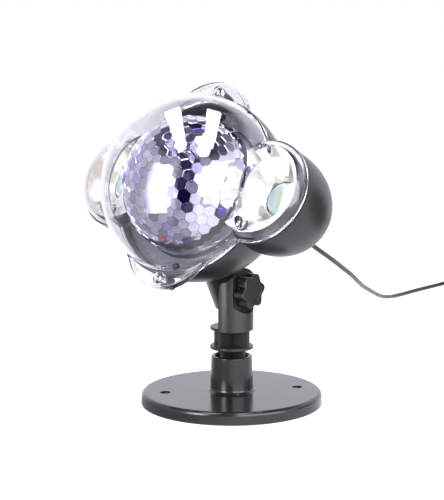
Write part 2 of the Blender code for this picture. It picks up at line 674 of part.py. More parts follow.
def cable_gland(surface, parent):
    """The moulded strain relief in the back wall, tapering along the cord."""
    low, end = GLAND_SEAT - GAP, GLAND_SEAT - GLAND_TAIL
    inside = GLAND_INSIDE + GAP
    profile = [
        (0, inside + 1.1), (5.6, inside + 1.1), (5.6, inside), (GLAND_HOLE - 0.3, inside),
        (GLAND_HOLE - 0.3, low), (6.2, low), (6.2, low - 2.0), (4.2, low - 3.4), (2.6, end), (0, end),
    ]
    return name_piece(move(turned(profile), (0, GLAND_UP, 0)), "cable_gland", surface, parent)


def cords(cord_surface, tie_surface, parent):
    """The lead that runs to the coil, the coil with its tie, and the short end that enters the adapter."""
    name_piece(tube(CORD_ROUTE, CORD_RADIUS, 10.0), "power_cord", cord_surface, parent)
    name_piece(tube(TAIL_ROUTE, CORD_RADIUS, 7.0), "cord_tail", cord_surface, parent)
    inner, outer = COIL_MIDDLE - COIL_WIDTH / 2, COIL_MIDDLE + COIL_WIDTH / 2
    middle = (COIL_LOW + COIL_HIGH) / 2
    profile = [
        (outer - 3, COIL_HIGH), (outer, middle + 4), (outer, middle - 4), (outer - 3, COIL_LOW),
        (inner + 3, COIL_LOW), (inner, middle - 4), (inner, middle + 4), (inner + 3, COIL_HIGH),
    ]
    coil = move(turned(profile, closed=True), (*COIL_CENTRE, 0))
    name_piece(coil, "cord_coil", cord_surface, parent)
    loose = COIL_WIDTH / 2 + 0.8
    side, high = loose + TIE_WALL, COIL_HIGH + GAP
    band = cut(
        block((COIL_MIDDLE - side, -TIE_WIDTH / 2, 0), (COIL_MIDDLE + side, TIE_WIDTH / 2, high + TIE_WALL)),
        block((COIL_MIDDLE - loose, -TIE_WIDTH, COIL_LOW - GAP), (COIL_MIDDLE + loose, TIE_WIDTH, high)),
    )
    name_piece(move(band, (*COIL_CENTRE, 0), about("Z", math.radians(-40))), "coil_tie", tie_surface, parent)


def adapter(surface, steel, parent):
    """A plug-in adapter lying on its back, with two blades and a tapered cord entry."""
    wide, long, tall = ADAPTER_SIZE
    x, y = ADAPTER_MIDDLE
    body = block((x - wide / 2, y - long / 2, 0), (x + wide / 2, y + long / 2, tall), 3.0)
    for side, word in ((-1, "left"), (1, "right")):
        middle = x + side * 6.35
        slot = block((middle - 1.05, y - 3.5, tall - 6), (middle + 1.05, y + 3.5, tall + 2))
        cut(body, slot)
        blade = block((middle - 0.75, y - 3.2, tall - 5.7), (middle + 0.75, y + 3.2, tall + 16))
        name_piece(blade, f"adapter_blade_{word}", steel, parent)
    name_piece(body, "adapter_body", surface, parent)
    start = y + long / 2 + GAP
    relief = turned([(0, start + 14), (2.4, start + 14), (3.6, start + 1.5), (4.6, start), (0, start)])
    move(relief, turn=about("X", -math.pi / 2))
    name_piece(move(relief, (x, 0, ADAPTER_CORD_HEIGHT)), "adapter_relief", surface, parent)


# ---------------------------------------------------------------- assembly


def main():
    clear_scene()
    black = finish("black_abs", (0.018, 0.018, 0.020), 0.38)
    clear = finish("clear_polycarbonate", (0.93, 0.94, 0.97), 0.04, alpha=0.3)
    rubber = finish("black_rubber", (0.02, 0.02, 0.02), 0.8)
    mirror = finish("mirror_plating", (0.92, 0.92, 0.95), 0.03, 1.0)
    steel = finish("zinc_steel", (0.62, 0.62, 0.64), 0.3, 1.0)
    brass = finish("brass", (0.78, 0.58, 0.25), 0.3, 1.0)
    aluminium = finish("cast_aluminium", (0.72, 0.72, 0.73), 0.35, 1.0)
    white = finish("white_nylon", (0.8, 0.8, 0.78), 0.5)
    phosphor = finish("phosphor", (0.9, 0.75, 0.25), 0.5)
    laminate = finish("green_laminate", (0.05, 0.25, 0.12), 0.5)
    cord_black = finish("black_cord", (0.015, 0.015, 0.017), 0.5)

    base_disc(black)
    stand = frame_empty("swivel_axis", (0, 0, 0))
    swivel_post(black, stand)
    tilt = frame_empty("tilt_axis", (0, 0, PIVOT_HEIGHT))
    cross = frame_empty("clamp_axis", (0, 0, 0), (0, math.pi / 2, 0), tilt)
    clamp_parts(steel, brass, black, cross)

    globe = Vector((0, -math.sin(STEM_LEAN), math.cos(STEM_LEAN))) * STEM_REACH
    forward = Vector((0, -math.cos(HEAD_PITCH), math.sin(HEAD_PITCH)))
    head = frame_empty("head_frame", globe - forward * GLOBE_CENTRE, (math.pi / 2 - HEAD_PITCH, 0, 0), tilt)
    spin = frame_empty("ball_axis", (0, 0, 0), (0, 0, 0), head)
    rear_housing(black, head)
    front_cover(clear, head)
    rim_gasket(rubber, head)
    names = ("left_lower", "left_upper", "right_lower", "right_upper")
    for word, place in zip(names, BOSS_PLACES):
        screw(f"cover_screw_{word}", place, SCREW_SHOULDER - GAP, 11.5, steel, head)
    for word, up in (("top", 1), ("bottom", -1)):
        screw(f"cover_screw_{word}", (0, up * EAR_SCREW), SCREW_SHOULDER - GAP, 11.5, steel, head)
    mirror_ball(mirror, spin)
    ball_drive(white, steel, aluminium, head, spin)
    bezel_plate(black, steel, head)
    for side, word in ((-1, "left"), (1, "right")):
        lamp(side, word, mirror, clear, phosphor, white, aluminium, head)
    driver_board(laminate, black, head)
    inner_wires(rubber, head)
    cable_gland(rubber, head)
    cords(cord_black, black, stand)
    adapter(black, steel, stand)
    bpy.context.view_layer.update()


main()
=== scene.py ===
import json
import math

import bmesh
import bpy
from bpy.props import FloatProperty, FloatVectorProperty, IntProperty, PointerProperty
from mathutils import Matrix, Vector


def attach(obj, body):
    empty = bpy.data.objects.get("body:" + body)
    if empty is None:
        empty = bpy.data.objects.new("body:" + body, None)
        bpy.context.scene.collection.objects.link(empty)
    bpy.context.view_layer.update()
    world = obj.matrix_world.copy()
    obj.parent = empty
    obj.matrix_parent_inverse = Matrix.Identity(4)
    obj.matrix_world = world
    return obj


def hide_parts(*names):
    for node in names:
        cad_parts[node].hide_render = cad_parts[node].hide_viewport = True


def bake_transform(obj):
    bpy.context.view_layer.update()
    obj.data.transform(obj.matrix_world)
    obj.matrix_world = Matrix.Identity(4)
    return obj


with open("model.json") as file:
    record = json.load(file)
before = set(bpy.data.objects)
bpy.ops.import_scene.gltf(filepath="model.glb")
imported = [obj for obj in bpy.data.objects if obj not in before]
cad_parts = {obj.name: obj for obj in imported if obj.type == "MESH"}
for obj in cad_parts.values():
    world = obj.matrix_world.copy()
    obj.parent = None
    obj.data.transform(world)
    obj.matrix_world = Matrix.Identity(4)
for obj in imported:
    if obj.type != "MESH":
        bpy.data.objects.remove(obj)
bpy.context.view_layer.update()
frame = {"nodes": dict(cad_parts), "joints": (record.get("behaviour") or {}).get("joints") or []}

bl_info = {
    "name": "Garden Light Projector",
    "version": (1, 0, 0),
    "blender": (4, 5, 0),
    "location": "View3D > Sidebar > Projector",
    "description": "Builds a globe light projector with a mirror ball, its stand, its cord and a small studio",
    "category": "Add Mesh",
}

# All shapes are worked out in millimetres and scaled to metres when a piece is finished.
MM = 0.001
CLOSE = 0.001

# ------------------------------------------------------------------ placing

JOINTS = {joint["name"]: joint for joint in frame["joints"]}
SPIN = JOINTS["ball_spin"]
PIVOT = Vector(JOINTS["head_tilt"]["pos_m"]) / MM
FORWARD = Vector(SPIN["axis"]).normalized()
RIM_CENTRE = Vector(SPIN["pos_m"]) / MM
ACROSS = Vector((1, 0, 0))


def frame_matrix(origin, x, z):
    """A matrix that carries a piece's own X and Z onto the given directions."""
    x, z = x.normalized(), z.normalized()
    made = Matrix((x, z.cross(x), z)).transposed().to_4x4()
    made.translation = origin
    return made


# Head: X across, Y up the rim plane, Z forward out of the dome.
HEAD = frame_matrix(RIM_CENTRE, ACROSS, FORWARD)
GLOBE_CENTRE = -2.0
STEM_UP = (HEAD @ Vector((0, 0, GLOBE_CENTRE)) - PIVOT).normalized()
# Stem: Z from the tilt bolt to the globe's centre. Clamp: Z along the tilt bolt, towards the knob.
STEM = frame_matrix(PIVOT, ACROSS, STEM_UP)
CLAMP = frame_matrix(PIVOT, -STEM_UP, ACROSS)
WORLD = Matrix.Identity(4)

# Sizes that the CAD pieces have too
GLOBE_RADIUS = 62.2
LOBE_OFFSET = 57.7
LOBE_RADIUS = 34.5
EAR_SCREW = 65.5
LAMP_OFFSET = 66.8
BOSS_PLACES = [(side * 57.0, up * 24.5) for side in (-1, 1) for up in (-1, 1)]
PIVOT_HEIGHT = 79.8
COLUMN_RADIUS = 15.0
COVER_RADIUS, COVER_DEPTH = 61.0, 55.5
WINDOW_RADIUS, WINDOW_DEPTH = 33.5, 19.5
EAR_CENTRE, EAR_RADIUS, EAR_FILLET = 39.0, 33.5, 12.0
BEZEL_SCREW, MOTOR_SCREW = 53.5, 20.0
BLADE_OFFSET = 6.35
SCREW_PLACES = [*BOSS_PLACES, (0, EAR_SCREW), (0, -EAR_SCREW)]
GLAND_UP = 14.0
GLAND_SEAT = -64.6

# The lead's route from the gland to the coil, and from the coil to the adapter
LEAD_ROUTE = [
    (0.0, 42.1, 126.5), (0.0, 52.5, 121.2), (0.0, 65.0, 114.7), (0.0, 78.0, 107.9),
    (0.0, 91.0, 101.0), (-1.0, 105.0, 93.8), (-3.0, 120.0, 86.8), (-6.5, 136.0, 79.8),
    (-11.0, 151.0, 73.6), (-16.5, 167.0, 67.5), (-23.0, 183.0, 61.8), (-37.5, 213.0, 51.5),
    (-52.5, 243.0, 42.0), (-67.0, 274.0, 33.0), (-82.0, 305.0, 24.3), (-96.5, 336.0, 15.8),
    (-110.0, 367.0, 8.4), (-119.0, 395.0, 3.6), (-123.0, 420.0, 1.9), (-123.6, 445.0, 1.8),
    (-123.0, 470.0, 1.8), (-122.2, 493.0, 1.9), (-122.0, 509.6, 2.2),
]
TAIL_ROUTE = [
    (-80.2, 551.8, 11.8), (-71.0, 552.1, 8.2), (-61.0, 552.2, 4.6), (-51.0, 550.2, 2.8),
    (-42.5, 545.0, 3.2), (-37.3, 537.0, 5.6), (-35.2, 529.0, 8.4), (-35.0, 522.0, 10.0),
    (-35.0, 508.0, 10.0), (-35.0, 494.0, 10.0),
]
COIL_CENTRE = (-95.0, 524.7)
COIL_RADII = (27.1, 23.55, 20.0, 16.45, 12.9)
COIL_LAYERS = (2.55, 6.05, 9.55, 13.05)
ADAPTER_MIDDLE = (-35.0, 477.0)
BEND_END = 11  # a point of the lead's route, handed to finish_piece with the lead

# Turns of a shape made in XY: onto its edge, and with its face along X
ON_EDGE = Matrix(((1, 0, 0, 0), (0, 0, -1, 0), (0, 1, 0, 0), (0, 0, 0, 1)))
FACE_X = Matrix(((0, 0, 1, 0), (1, 0, 0, 0), (0, 1, 0, 0), (0, 0, 0, 1)))

# ------------------------------------------------------------------ settings


def linear(code):
    """A #rrggbb colour as linear RGBA."""
    parts = [int(code[i:i + 2], 16) / 255 for i in (1, 3, 5)]
    return (*(c / 12.92 if c <= 0.04045 else ((c + 0.055) / 1.055) ** 2.4 for c in parts), 1.0)


def colour(label, description, code):
    return FloatVectorProperty(
        name=label, description=description, default=linear(code), size=4, subtype="COLOR", min=0, max=1
    )


class ProjectorSizes(bpy.types.PropertyGroup):
    """Sizes that someone would change, in millimetres unless they say otherwise."""

    cord_diameter: FloatProperty(
        name="Cord diameter", description="Across the round lead", default=3.5, min=2, max=8
    )
    cord_length: FloatProperty(
        name="Cord length", description="From the housing to the adapter", default=3.0, unit="LENGTH", min=1, max=10
    )
    ball_radius: FloatProperty(
        name="Ball radius", description="Over the mirror tiles", default=46.5, min=30, max=50
    )
    tile_height: FloatProperty(
        name="Tile height", description="How far a tile stands out", default=0.55, min=0, max=2
    )
    tile_share: FloatProperty(
        name="Tile share", description="A tile's width as a share of its cell", default=0.93,
        subtype="FACTOR", min=0.5, max=1,
    )
    ball_detail: IntProperty(
        name="Ball detail", description="How often the ball's cells are divided", default=4, min=2, max=5
    )
    shell_wall: FloatProperty(
        name="Shell wall", description="Thickness of the black housing", default=2.4, min=1, max=4
    )
    cover_wall: FloatProperty(
        name="Cover wall", description="Thickness of the clear cover", default=2.2, min=1, max=4
    )
    edge_round: FloatProperty(
        name="Edge round", description="Radius on moulded edges", default=0.35, min=0.05, max=1
    )


class ProjectorColours(bpy.types.PropertyGroup):
    """Colours of the finishes."""

    shell: colour("Shell", "Black moulding", "#1c1c1f")
    base: colour("Base", "Black moulding of the disc", "#18181a")
    cover: colour("Cover", "Clear moulding", "#f7f6fc")
    cord: colour("Cord", "Lead's jacket", "#141416")
    tile: colour("Tile", "Silvered tiles", "#e9e9f2")
    violet: colour("Violet", "Tiles in the violet film", "#4a3f9c")
    rose: colour("Rose", "Tiles in the rose film", "#e08f96")
    reflector: colour("Reflector", "Lamp bowls", "#f4f0e6")


# ------------------------------------------------------------------ mesh tools


def to_object(bm, name="shape"):
    """The mesh as a new object, still in millimetres, with its faces pointing out."""
    bmesh.ops.recalc_face_normals(bm, faces=bm.faces)
    mesh = bpy.data.meshes.new(name)
    bm.to_mesh(mesh)
    bm.free()
    made = bpy.data.objects.new(name, mesh)
    bpy.context.scene.collection.objects.link(made)
    return made


def drop(*things):
    for thing in things:
        bpy.data.objects.remove(thing, do_unlink=True)


def move(thing, offset=(0, 0, 0), turn=None):
    matrix = Matrix.Translation(Vector(offset))
    thing.data.transform(matrix @ turn if turn else matrix)
    return thing


def about(axis, angle):
    return Matrix.Rotation(angle, 4, axis)


def along_x(thing):
    """Turn a shape made about Z so that its axis lies along +X."""
    return move(thing, turn=about("Y", math.pi / 2))


def sides_for(radius):
    return next((sides for limit, sides in ((3, 20), (7, 32), (16, 48), (40, 80)) if radius <= limit), 128)


def filleted(points, steps=5):
    """Points with each corner that states a radius, as a third number, rounded off."""
    rounded = []
    for i, (x, y, *radius) in enumerate(points):
        corner = Vector((x, y))
        if not radius:
            rounded.append((x, y))
            continue
        before = (Vector(points[i - 1][:2]) - corner).normalized()
        after = (Vector(points[(i + 1) % len(points)][:2]) - corner).normalized()
        half = before.angle(after) / 2
        run = radius[0] / math.tan(half)
        centre = corner + (before + after).normalized() * radius[0] / math.sin(half)
        first, last = corner + before * run - centre, corner + after * run - centre
        rounded += [tuple(centre + first.slerp(last, k / steps).normalized() * radius[0]) for k in range(steps + 1)]
    return rounded


def turned(profile, closed=False, sides=None):
    """A body turned about Z from (radius, height) points."""
    sides = sides or sides_for(max(point[0] for point in profile))
    bm = bmesh.new()
    verts = [bm.verts.new((radius, 0, height)) for radius, height in profile]
    edges = [bm.edges.new(pair) for pair in zip(verts, verts[1:])]
    if closed:
        edges.append(bm.edges.new((verts[-1], verts[0])))
    bmesh.ops.spin(
        bm, geom=verts + edges, cent=(0, 0, 0), axis=(0, 0, 1), angle=math.tau, steps=sides, use_merge=True
    )
    bmesh.ops.remove_doubles(bm, verts=bm.verts, dist=1e-4)
    return to_object(bm)


def disc(radius, low, high, centre=(0, 0), sides=None):
    return move(turned([(0, high), (radius, high), (radius, low), (0, low)], sides=sides), (*centre, 0))


def prism(outline, low, high):
    """An outline in XY as a solid between two heights."""
    bm = bmesh.new()
    face = bm.faces.new([bm.verts.new((x, y, low)) for x, y in outline])
    grown = bmesh.ops.extrude_face_region(bm, geom=[face])["geom"]
    raised = [g for g in grown if isinstance(g, bmesh.types.BMVert)]
    bmesh.ops.translate(bm, verts=raised, vec=(0, 0, high - low))
    return to_object(bm)


def block(low, high, bevel=0.0, segments=3):
    low, high = Vector(low), Vector(high)
    bm = bmesh.new()
    bmesh.ops.create_cube(bm, size=1)
    bmesh.ops.scale(bm, verts=bm.verts, vec=high - low)
    bmesh.ops.translate(bm, verts=bm.verts, vec=(low + high) / 2)
    if bevel:
        bmesh.ops.bevel(bm, geom=bm.edges[:], offset=bevel, segments=segments, profile=0.5, affect="EDGES")
    return to_object(bm)


def slab(low, high):
    """A block wider than the whole head."""
    return block((-120, -90, low), (120, 90, high))


def evaluated_mesh(thing):
    """The object's mesh with its modifiers applied, as new data."""
    bpy.context.view_layer.update()
    evaluated = thing.evaluated_get(bpy.context.evaluated_depsgraph_get())
    mesh = bpy.data.meshes.new_from_object(evaluated)
    thing.modifiers.clear()
    thing.data = mesh
    return thing


def tidy(thing):
    """Merge the slivers that a Boolean leaves."""
    bm = bmesh.new()
    bm.from_mesh(thing.data)
    bmesh.ops.remove_doubles(bm, verts=bm.verts, dist=CLOSE)
    bmesh.ops.dissolve_degenerate(bm, edges=bm.edges, dist=CLOSE)
    bm.to_mesh(thing.data)
    bm.free()
    return thing


def combine(base, tools, operation):
    for tool in tools:
        modifier = base.modifiers.new(operation, "BOOLEAN")
        modifier.operation = operation
        modifier.object = tool
        tidy(evaluated_mesh(base))
        drop(tool)
    return base


def join(first, *others):
    return combine(first, others, "UNION")


def cut(first, *others):
    return combine(first, others, "DIFFERENCE")


def rounded_edges(thing, width, angle=32, segments=2):
    """Round every edge sharper than the angle, as a mould does."""
    modifier = thing.modifiers.new("edges", "BEVEL")
    modifier.width = width
    modifier.segments = segments
    modifier.limit_method = "ANGLE"
    modifier.angle_limit = math.radians(angle)
    modifier.use_clamp_overlap = True
    return evaluated_mesh(thing)


def arc(centre, radius, start, end, steps):
    return [
        (centre[0] + radius * math.cos(a), centre[1] + radius * math.sin(a))
        for a in (start + (end - start) * k / steps for k in range(steps + 1))
    ]


def ellipse_profile(radius, depth, level, steps):
    """(radius, height) points from a pole above the level down to the widest place."""
    angles = [math.pi / 2 * k / steps for k in range(steps + 1)]
    return [(radius * math.sin(a), level + depth * math.cos(a)) for a in angles]


def smooth_points(points, step):
    """Evenly spaced points along a smooth curve through the given ones."""
    knots = [Vector(p) for p in points]
    knots = [2 * knots[0] - knots[1], *knots, 2 * knots[-1] - knots[-2]]
    fine = []
    for a, b, c, d in zip(knots, knots[1:], knots[2:], knots[3:]):
        for k in range(16):
            t = k / 16
            fine.append(0.5 * (2 * b + (c - a) * t + (2 * a - 5 * b + 4 * c - d) * t**2
                               + (3 * b - a - 3 * c + d) * t**3))
    fine.append(knots[-2])
    count = max(4, round(sum((q - p).length for p, q in zip(fine, fine[1:])) / step))
    wanted = sum((q - p).length for p, q in zip(fine, fine[1:])) / count
    spaced, walked, target = [fine[0]], 0.0, wanted
    for p, q in zip(fine, fine[1:]):
        run = (q - p).length
        while walked + run >= target and len(spaced) < count:
            spaced.append(p.lerp(q, (target - walked) / run))
            target += wanted
        walked += run
    return [*spaced, fine[-1]]


def sweep(points, radius, sides=12):
    """A capped round tube through the points, with a UV map that runs along it in millimetres."""
    bm = bmesh.new()
    layer = bm.loops.layers.uv.new("UVMap")
    side = Vector((1, 0, 0))
    rings, walked, lengths = [], 0.0, []
    for i, point in enumerate(points):
        before, after = points[max(i - 1, 0)], points[min(i + 1, len(points) - 1)]
        ahead = (after - before).normalized()
        side = (side - ahead * side.dot(ahead)).normalized()
        up = ahead.cross(side)
        walked += (point - before).length if i else 0
        lengths.append(walked)
        rings.append([
            bm.verts.new(point + (side * math.cos(a) + up * math.sin(a)) * radius)
            for a in (math.tau * k / sides for k in range(sides))
        ])
    for i, (low, high) in enumerate(zip(rings, rings[1:])):
        for k in range(sides):
            face = bm.faces.new((low[k], low[(k + 1) % sides], high[(k + 1) % sides], high[k]))
            around = (k / sides, (k + 1) / sides)
            for loop, uv in zip(face.loops, ((0, 0), (1, 0), (1, 1), (0, 1))):
                loop[layer].uv = (around[uv[0]], lengths[i + uv[1]])
    bm.faces.new(list(reversed(rings[0])))
    bm.faces.new(rings[-1])
    return to_object(bm)


def even_shading(thing):
    """Let the large flat faces set the normals, so that a rounded edge leaves no streak on them."""
    modifier = thing.modifiers.new("normals", "WEIGHTED_NORMAL")
    modifier.mode = "FACE_AREA_WITH_ANGLE"
    modifier.keep_sharp = True
    return evaluated_mesh(thing)


def finish_piece(thing, name, place, surface, body, replaced=(), smooth=32, blend=None, even=False):
    """Put a shape in its place in metres, name and paint it, and tie it to its body."""
    thing.data.transform(Matrix.Scale(MM, 4) @ place)
    thing.name = thing.data.name = name
    thing.data.materials.clear()
    thing.data.materials.append(surface)
    if smooth:
        thing.data.shade_smooth()
        thing.data.set_sharp_from_angle(angle=math.radians(smooth))
    if even:
        even_shading(thing)
    if blend:
        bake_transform(thing)
    else:
        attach(thing, body)
    if replaced:
        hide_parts(*replaced)
    return thing


# ------------------------------------------------------------------ geometry nodes


def add(tree, kind, settings=None, links=None):
    """Add a node, set its properties, and set or link its inputs by name or number."""
    made = tree.nodes.new(kind)
    for name, value in (settings or {}).items():
        setattr(made, name, value)
    for name, value in (links or {}).items():
        socket = made.inputs[name]
        if isinstance(value, bpy.types.NodeSocket):
            tree.links.new(value, socket)
        else:
            socket.default_value = value
    return made


def geometry_tree(name, sockets):
    """A new Geometry Nodes tree with named inputs. Returns the tree and its input node's outputs."""
    tree = bpy.data.node_groups.new(name, "GeometryNodeTree")
    tree.interface.new_socket("Geometry", in_out="OUTPUT", socket_type="NodeSocketGeometry")
    tree.interface.new_socket("Geometry", in_out="INPUT", socket_type="NodeSocketGeometry")
    for label, kind in sockets:
        tree.interface.new_socket(label, in_out="INPUT", socket_type=kind)
    return tree, tree.nodes.new("NodeGroupInput").outputs


def close_tree(tree, geometry, material):
    """End a tree in real meshes with their material."""
    real = add(tree, "GeometryNodeRealizeInstances", links={0: geometry})
    painted = add(tree, "GeometryNodeSetMaterial", links={"Geometry": real.outputs[0], "Material": material})
    out = tree.nodes.new("NodeGroupOutput")
    tree.links.new(painted.outputs[0], out.inputs[0])


def grown(host, tree, values):
    """Run a tree on the host and keep the result as a plain mesh."""
    modifier = host.modifiers.new(tree.name, "NODES")
    modifier.node_group = tree
    for item in tree.interface.items_tree:
        if item.in_out == "INPUT" and item.name in values:
            modifier[item.identifier] = values[item.name]
    return evaluated_mesh(host)


def points_host(points):
    """A mesh of loose points for a tree to work on."""
    bm = bmesh.new()
    for point in points:
        bm.verts.new(point)
    return to_object(bm, "points")


# ------------------------------------------------------------------ materials


def finishes():
    return bpy.context.scene.projector_colours


def sizes():
    return bpy.context.scene.projector_sizes


def new_material(name, **sockets):
    """A material with a Principled shader whose uniform values are set on its own sockets."""
    made = bpy.data.materials.get(name)
    if made:
        return made, None, None, None
    made = bpy.data.materials.new(name)
    made.use_nodes = True
    tree = made.node_tree
    shader = tree.nodes["Principled BSDF"]
    for label, value in sockets.items():
        shader.inputs[label.replace("_", " ")].default_value = value
    coords = add(tree, "ShaderNodeTexCoord").outputs["Object"]
    return made, tree, shader, coords


def varied(tree, coords, size_mm, low, high, detail=2.0, stretch=None):
    """Noise of about the given grain size, mapped between two values."""
    vector = coords
    if stretch:
        vector = add(tree, "ShaderNodeMapping", links={"Vector": coords, "Scale": stretch}).outputs[0]
    noise = add(tree, "ShaderNodeTexNoise", links={"Vector": vector, "Scale": 1000 / size_mm, "Detail": detail})
    return add(tree, "ShaderNodeMapRange", links={
        "Value": noise.outputs[0], "From Min": 0.3, "From Max": 0.7, "To Min": low, "To Max": high,
    }).outputs[0]


def bumped(tree, shader, height, depth_mm, strength=1.0, under=None):
    links = {"Height": height, "Distance": depth_mm * MM, "Strength": strength}
    if under:
        links["Normal"] = under
    bump = add(tree, "ShaderNodeBump", links=links)
    tree.links.new(bump.outputs[0], shader.inputs["Normal"])
    return bump.outputs[0]


def shaded_colour(tree, shader, base, share, mask):
    """The base colour, and a slightly lighter one where the mask is high."""
    lighter = [min(1, c * share) for c in base[:3]] + [1]
    mix = add(tree, "ShaderNodeMix", {"data_type": "RGBA"}, {0: mask, 6: tuple(base), 7: tuple(lighter)})
    tree.links.new(mix.outputs[2], shader.inputs["Base Color"])


def moulded_abs(name, base, low, high, grain_depth):
    """Black ABS from a spark-eroded mould: fine even grain, soft highlights, faint handling marks."""
    made, tree, shader, coords = new_material(name, IOR=1.54)
    if tree:
        shaded_colour(tree, shader, base, 1.35, varied(tree, coords, 14, 0, 1))
        rough = varied(tree, coords, 22, low, high, 4.0)
        tree.links.new(rough, shader.inputs["Roughness"])
        # The real grain is about 0.15 mm. It is drawn at 0.6 mm so that it shows.
        bumped(tree, shader, varied(tree, coords, 0.6, 0, 1), grain_depth)
    return made


def clear_polycarbonate():
    """Clear polycarbonate, polished in the mould: sharp reflections and a slight waviness."""
    base = finishes().cover
    made, tree, shader, coords = new_material(
        "polycarbonate_clear", Base_Color=tuple(base), Roughness=0.012, IOR=1.58, Transmission_Weight=1.0
    )
    if tree:
        bumped(tree, shader, varied(tree, coords, 34, 0, 1, 1.0), 0.12, 0.5)
        path = add(tree, "ShaderNodeLightPath")
        pass_light = add(tree, "ShaderNodeBsdfTransparent", links={"Color": (0.93, 0.94, 0.96, 1)})
        mix = add(tree, "ShaderNodeMixShader", links={
            0: path.outputs["Is Shadow Ray"], 1: shader.outputs[0], 2: pass_light.outputs[0],
        })
        tree.links.new(mix.outputs[0], tree.nodes["Material Output"].inputs["Surface"])
    return made


def lamp_acrylic():
    """Clear acrylic lens with the faint green of its edge."""
    made, tree, shader, coords = new_material(
        "acrylic_lens", Base_Color=linear("#dff0ef"), Roughness=0.04, IOR=1.49, Transmission_Weight=0.85
    )
    if tree:
        rings = add(tree, "ShaderNodeTexNoise", links={"Vector": coords, "Scale": 700.0, "Detail": 1.0})
        bumped(tree, shader, rings.outputs[0], 0.02, 0.4)
    return made


def silvered_tiles():
    """Vacuum-plated styrene tiles: bright metal with slightly soft reflections, some under tinted film."""
    hues = finishes()
    made, tree, shader, coords = new_material("plated_styrene", Metallic=1.0, Roughness=0.045)
    if tree:
        pick = add(tree, "ShaderNodeAttribute", {"attribute_name": "tile_tint"}).outputs["Fac"]
        ramp = add(tree, "ShaderNodeValToRGB", {}, {0: pick})
        stops = [(0.0, hues.violet), (0.04, hues.rose), (0.055, linear("#c9c6ea")), (0.2, linear("#dcdce8")),
                 (0.45, hues.tile), (0.8, linear("#b9b9c6"))]
        ramp.color_ramp.interpolation = "CONSTANT"
        while len(ramp.color_ramp.elements) < len(stops):
            ramp.color_ramp.elements.new(0.5)
        for element, (place, value) in zip(ramp.color_ramp.elements, stops):
            element.position = place
            element.color = tuple(value)
        tree.links.new(ramp.outputs[0], shader.inputs["Base Color"])
        bumped(tree, shader, varied(tree, coords, 3.0, 0, 1, 1.0), 0.02, 0.5)
    return made


def metal(name, code, low, high, grain=(1, 1, 1), grain_mm=1.2, depth=0.01):
    """A worked metal: its roughness and fine marks vary across the grain."""
    made, tree, shader, coords = new_material(name, Base_Color=linear(code), Metallic=1.0)
    if tree:
        rough = varied(tree, coords, grain_mm, low, high, 3.0, grain)
        tree.links.new(rough, shader.inputs["Roughness"])
        bumped(tree, shader, varied(tree, coords, grain_mm / 2, 0, 1, 2.0, grain), depth)
    return made


def plain_plastic(name, code, rough, depth=0.01, size_mm=1.5, **extra):
    """A small moulded or coated part with a slightly uneven surface."""
    made, tree, shader, coords = new_material(name, IOR=1.5, **extra)
    if tree:
        shaded_colour(tree, shader, linear(code), 1.15, varied(tree, coords, 5, 0, 1))
        tree.links.new(varied(tree, coords, 6, rough * 0.85, rough * 1.15), shader.inputs["Roughness"])
        bumped(tree, shader, varied(tree, coords, size_mm, 0, 1), depth)
    return made


def pvc_jacket():
    """Extruded PVC: satin, with faint lines along the cord, where the colour is drawn lighter."""
    made, tree, shader, coords = new_material("pvc_jacket", IOR=1.53)
    if tree:
        along = add(tree, "ShaderNodeUVMap", {"uv_map": "UVMap"}).outputs[0]
        # Die lines run along the cord: twenty or so around it, each tens of millimetres long.
        lines = add(tree, "ShaderNodeMapping", links={"Vector": along, "Scale": (24, 0.03, 1)}).outputs[0]
        noise = add(tree, "ShaderNodeTexNoise", links={"Vector": lines, "Scale": 1.0, "Detail": 2.0}).outputs[0]
        # The colour is lighter along the lines.
        shaded_colour(tree, shader, finishes().cord, 1.5, noise)
        tree.links.new(varied(tree, coords, 12, 0.34, 0.48), shader.inputs["Roughness"])
        bumped(tree, shader, noise, 0.03)
    return made


def shell_black():
    return moulded_abs("abs_spark_eroded", finishes().shell, 0.30, 0.40, 0.006)


def gloss_black():
    return moulded_abs("abs_fine_satin", finishes().base, 0.15, 0.21, 0.0012)


def zinc_steel():
    return metal("steel_zinc_plated", "#b9bcc0", 0.22, 0.36)


# ------------------------------------------------------------------ cord


def coil_points():
    """The coil's centre line: turns side by side in layers, with one crossing in each turn.

    Each layer crosses a little before the one under it, so a turn has moved aside where the cord climbs.
    """
    places = []
    for layer, height in enumerate(COIL_LAYERS):
        radii = COIL_RADII if layer % 2 == 0 else tuple(reversed(COIL_RADII))
        places += [(radius, height) for radius in radii]
    per_turn, crossing = 40, 0.22
    points = []
    turns = len(places) - 1 + 0.25
    for k in range(int(turns * per_turn) + 1):
        turn = k / per_turn
        index = int(turn)
        start = 1 - crossing * (1 + index // len(COIL_RADII))
        share = min(1.0, max(0.0, (turn - index - start) / crossing))
        ease = share * share * (3 - 2 * share)
        here = Vector(places[index])
        radius, height = here.lerp(Vector(places[min(index + 1, len(places) - 1)]), ease)
        angle = math.pi - math.tau * turn
        points.append(Vector((
            COIL_CENTRE[0] + radius * math.cos(angle), COIL_CENTRE[1] + radius * math.sin(angle), height,
        )))
    return points


def cord_points():
    """The whole lead as one line, from the gland round the coil to the adapter."""
    lead = smooth_points(LEAD_ROUTE, 3.4)
    coil = coil_points()
    tail = smooth_points([coil[-1], *TAIL_ROUTE], 3.0)
    return [*lead, *coil[1:-1], *tail]


# ------------------------------------------------------------------ head shells


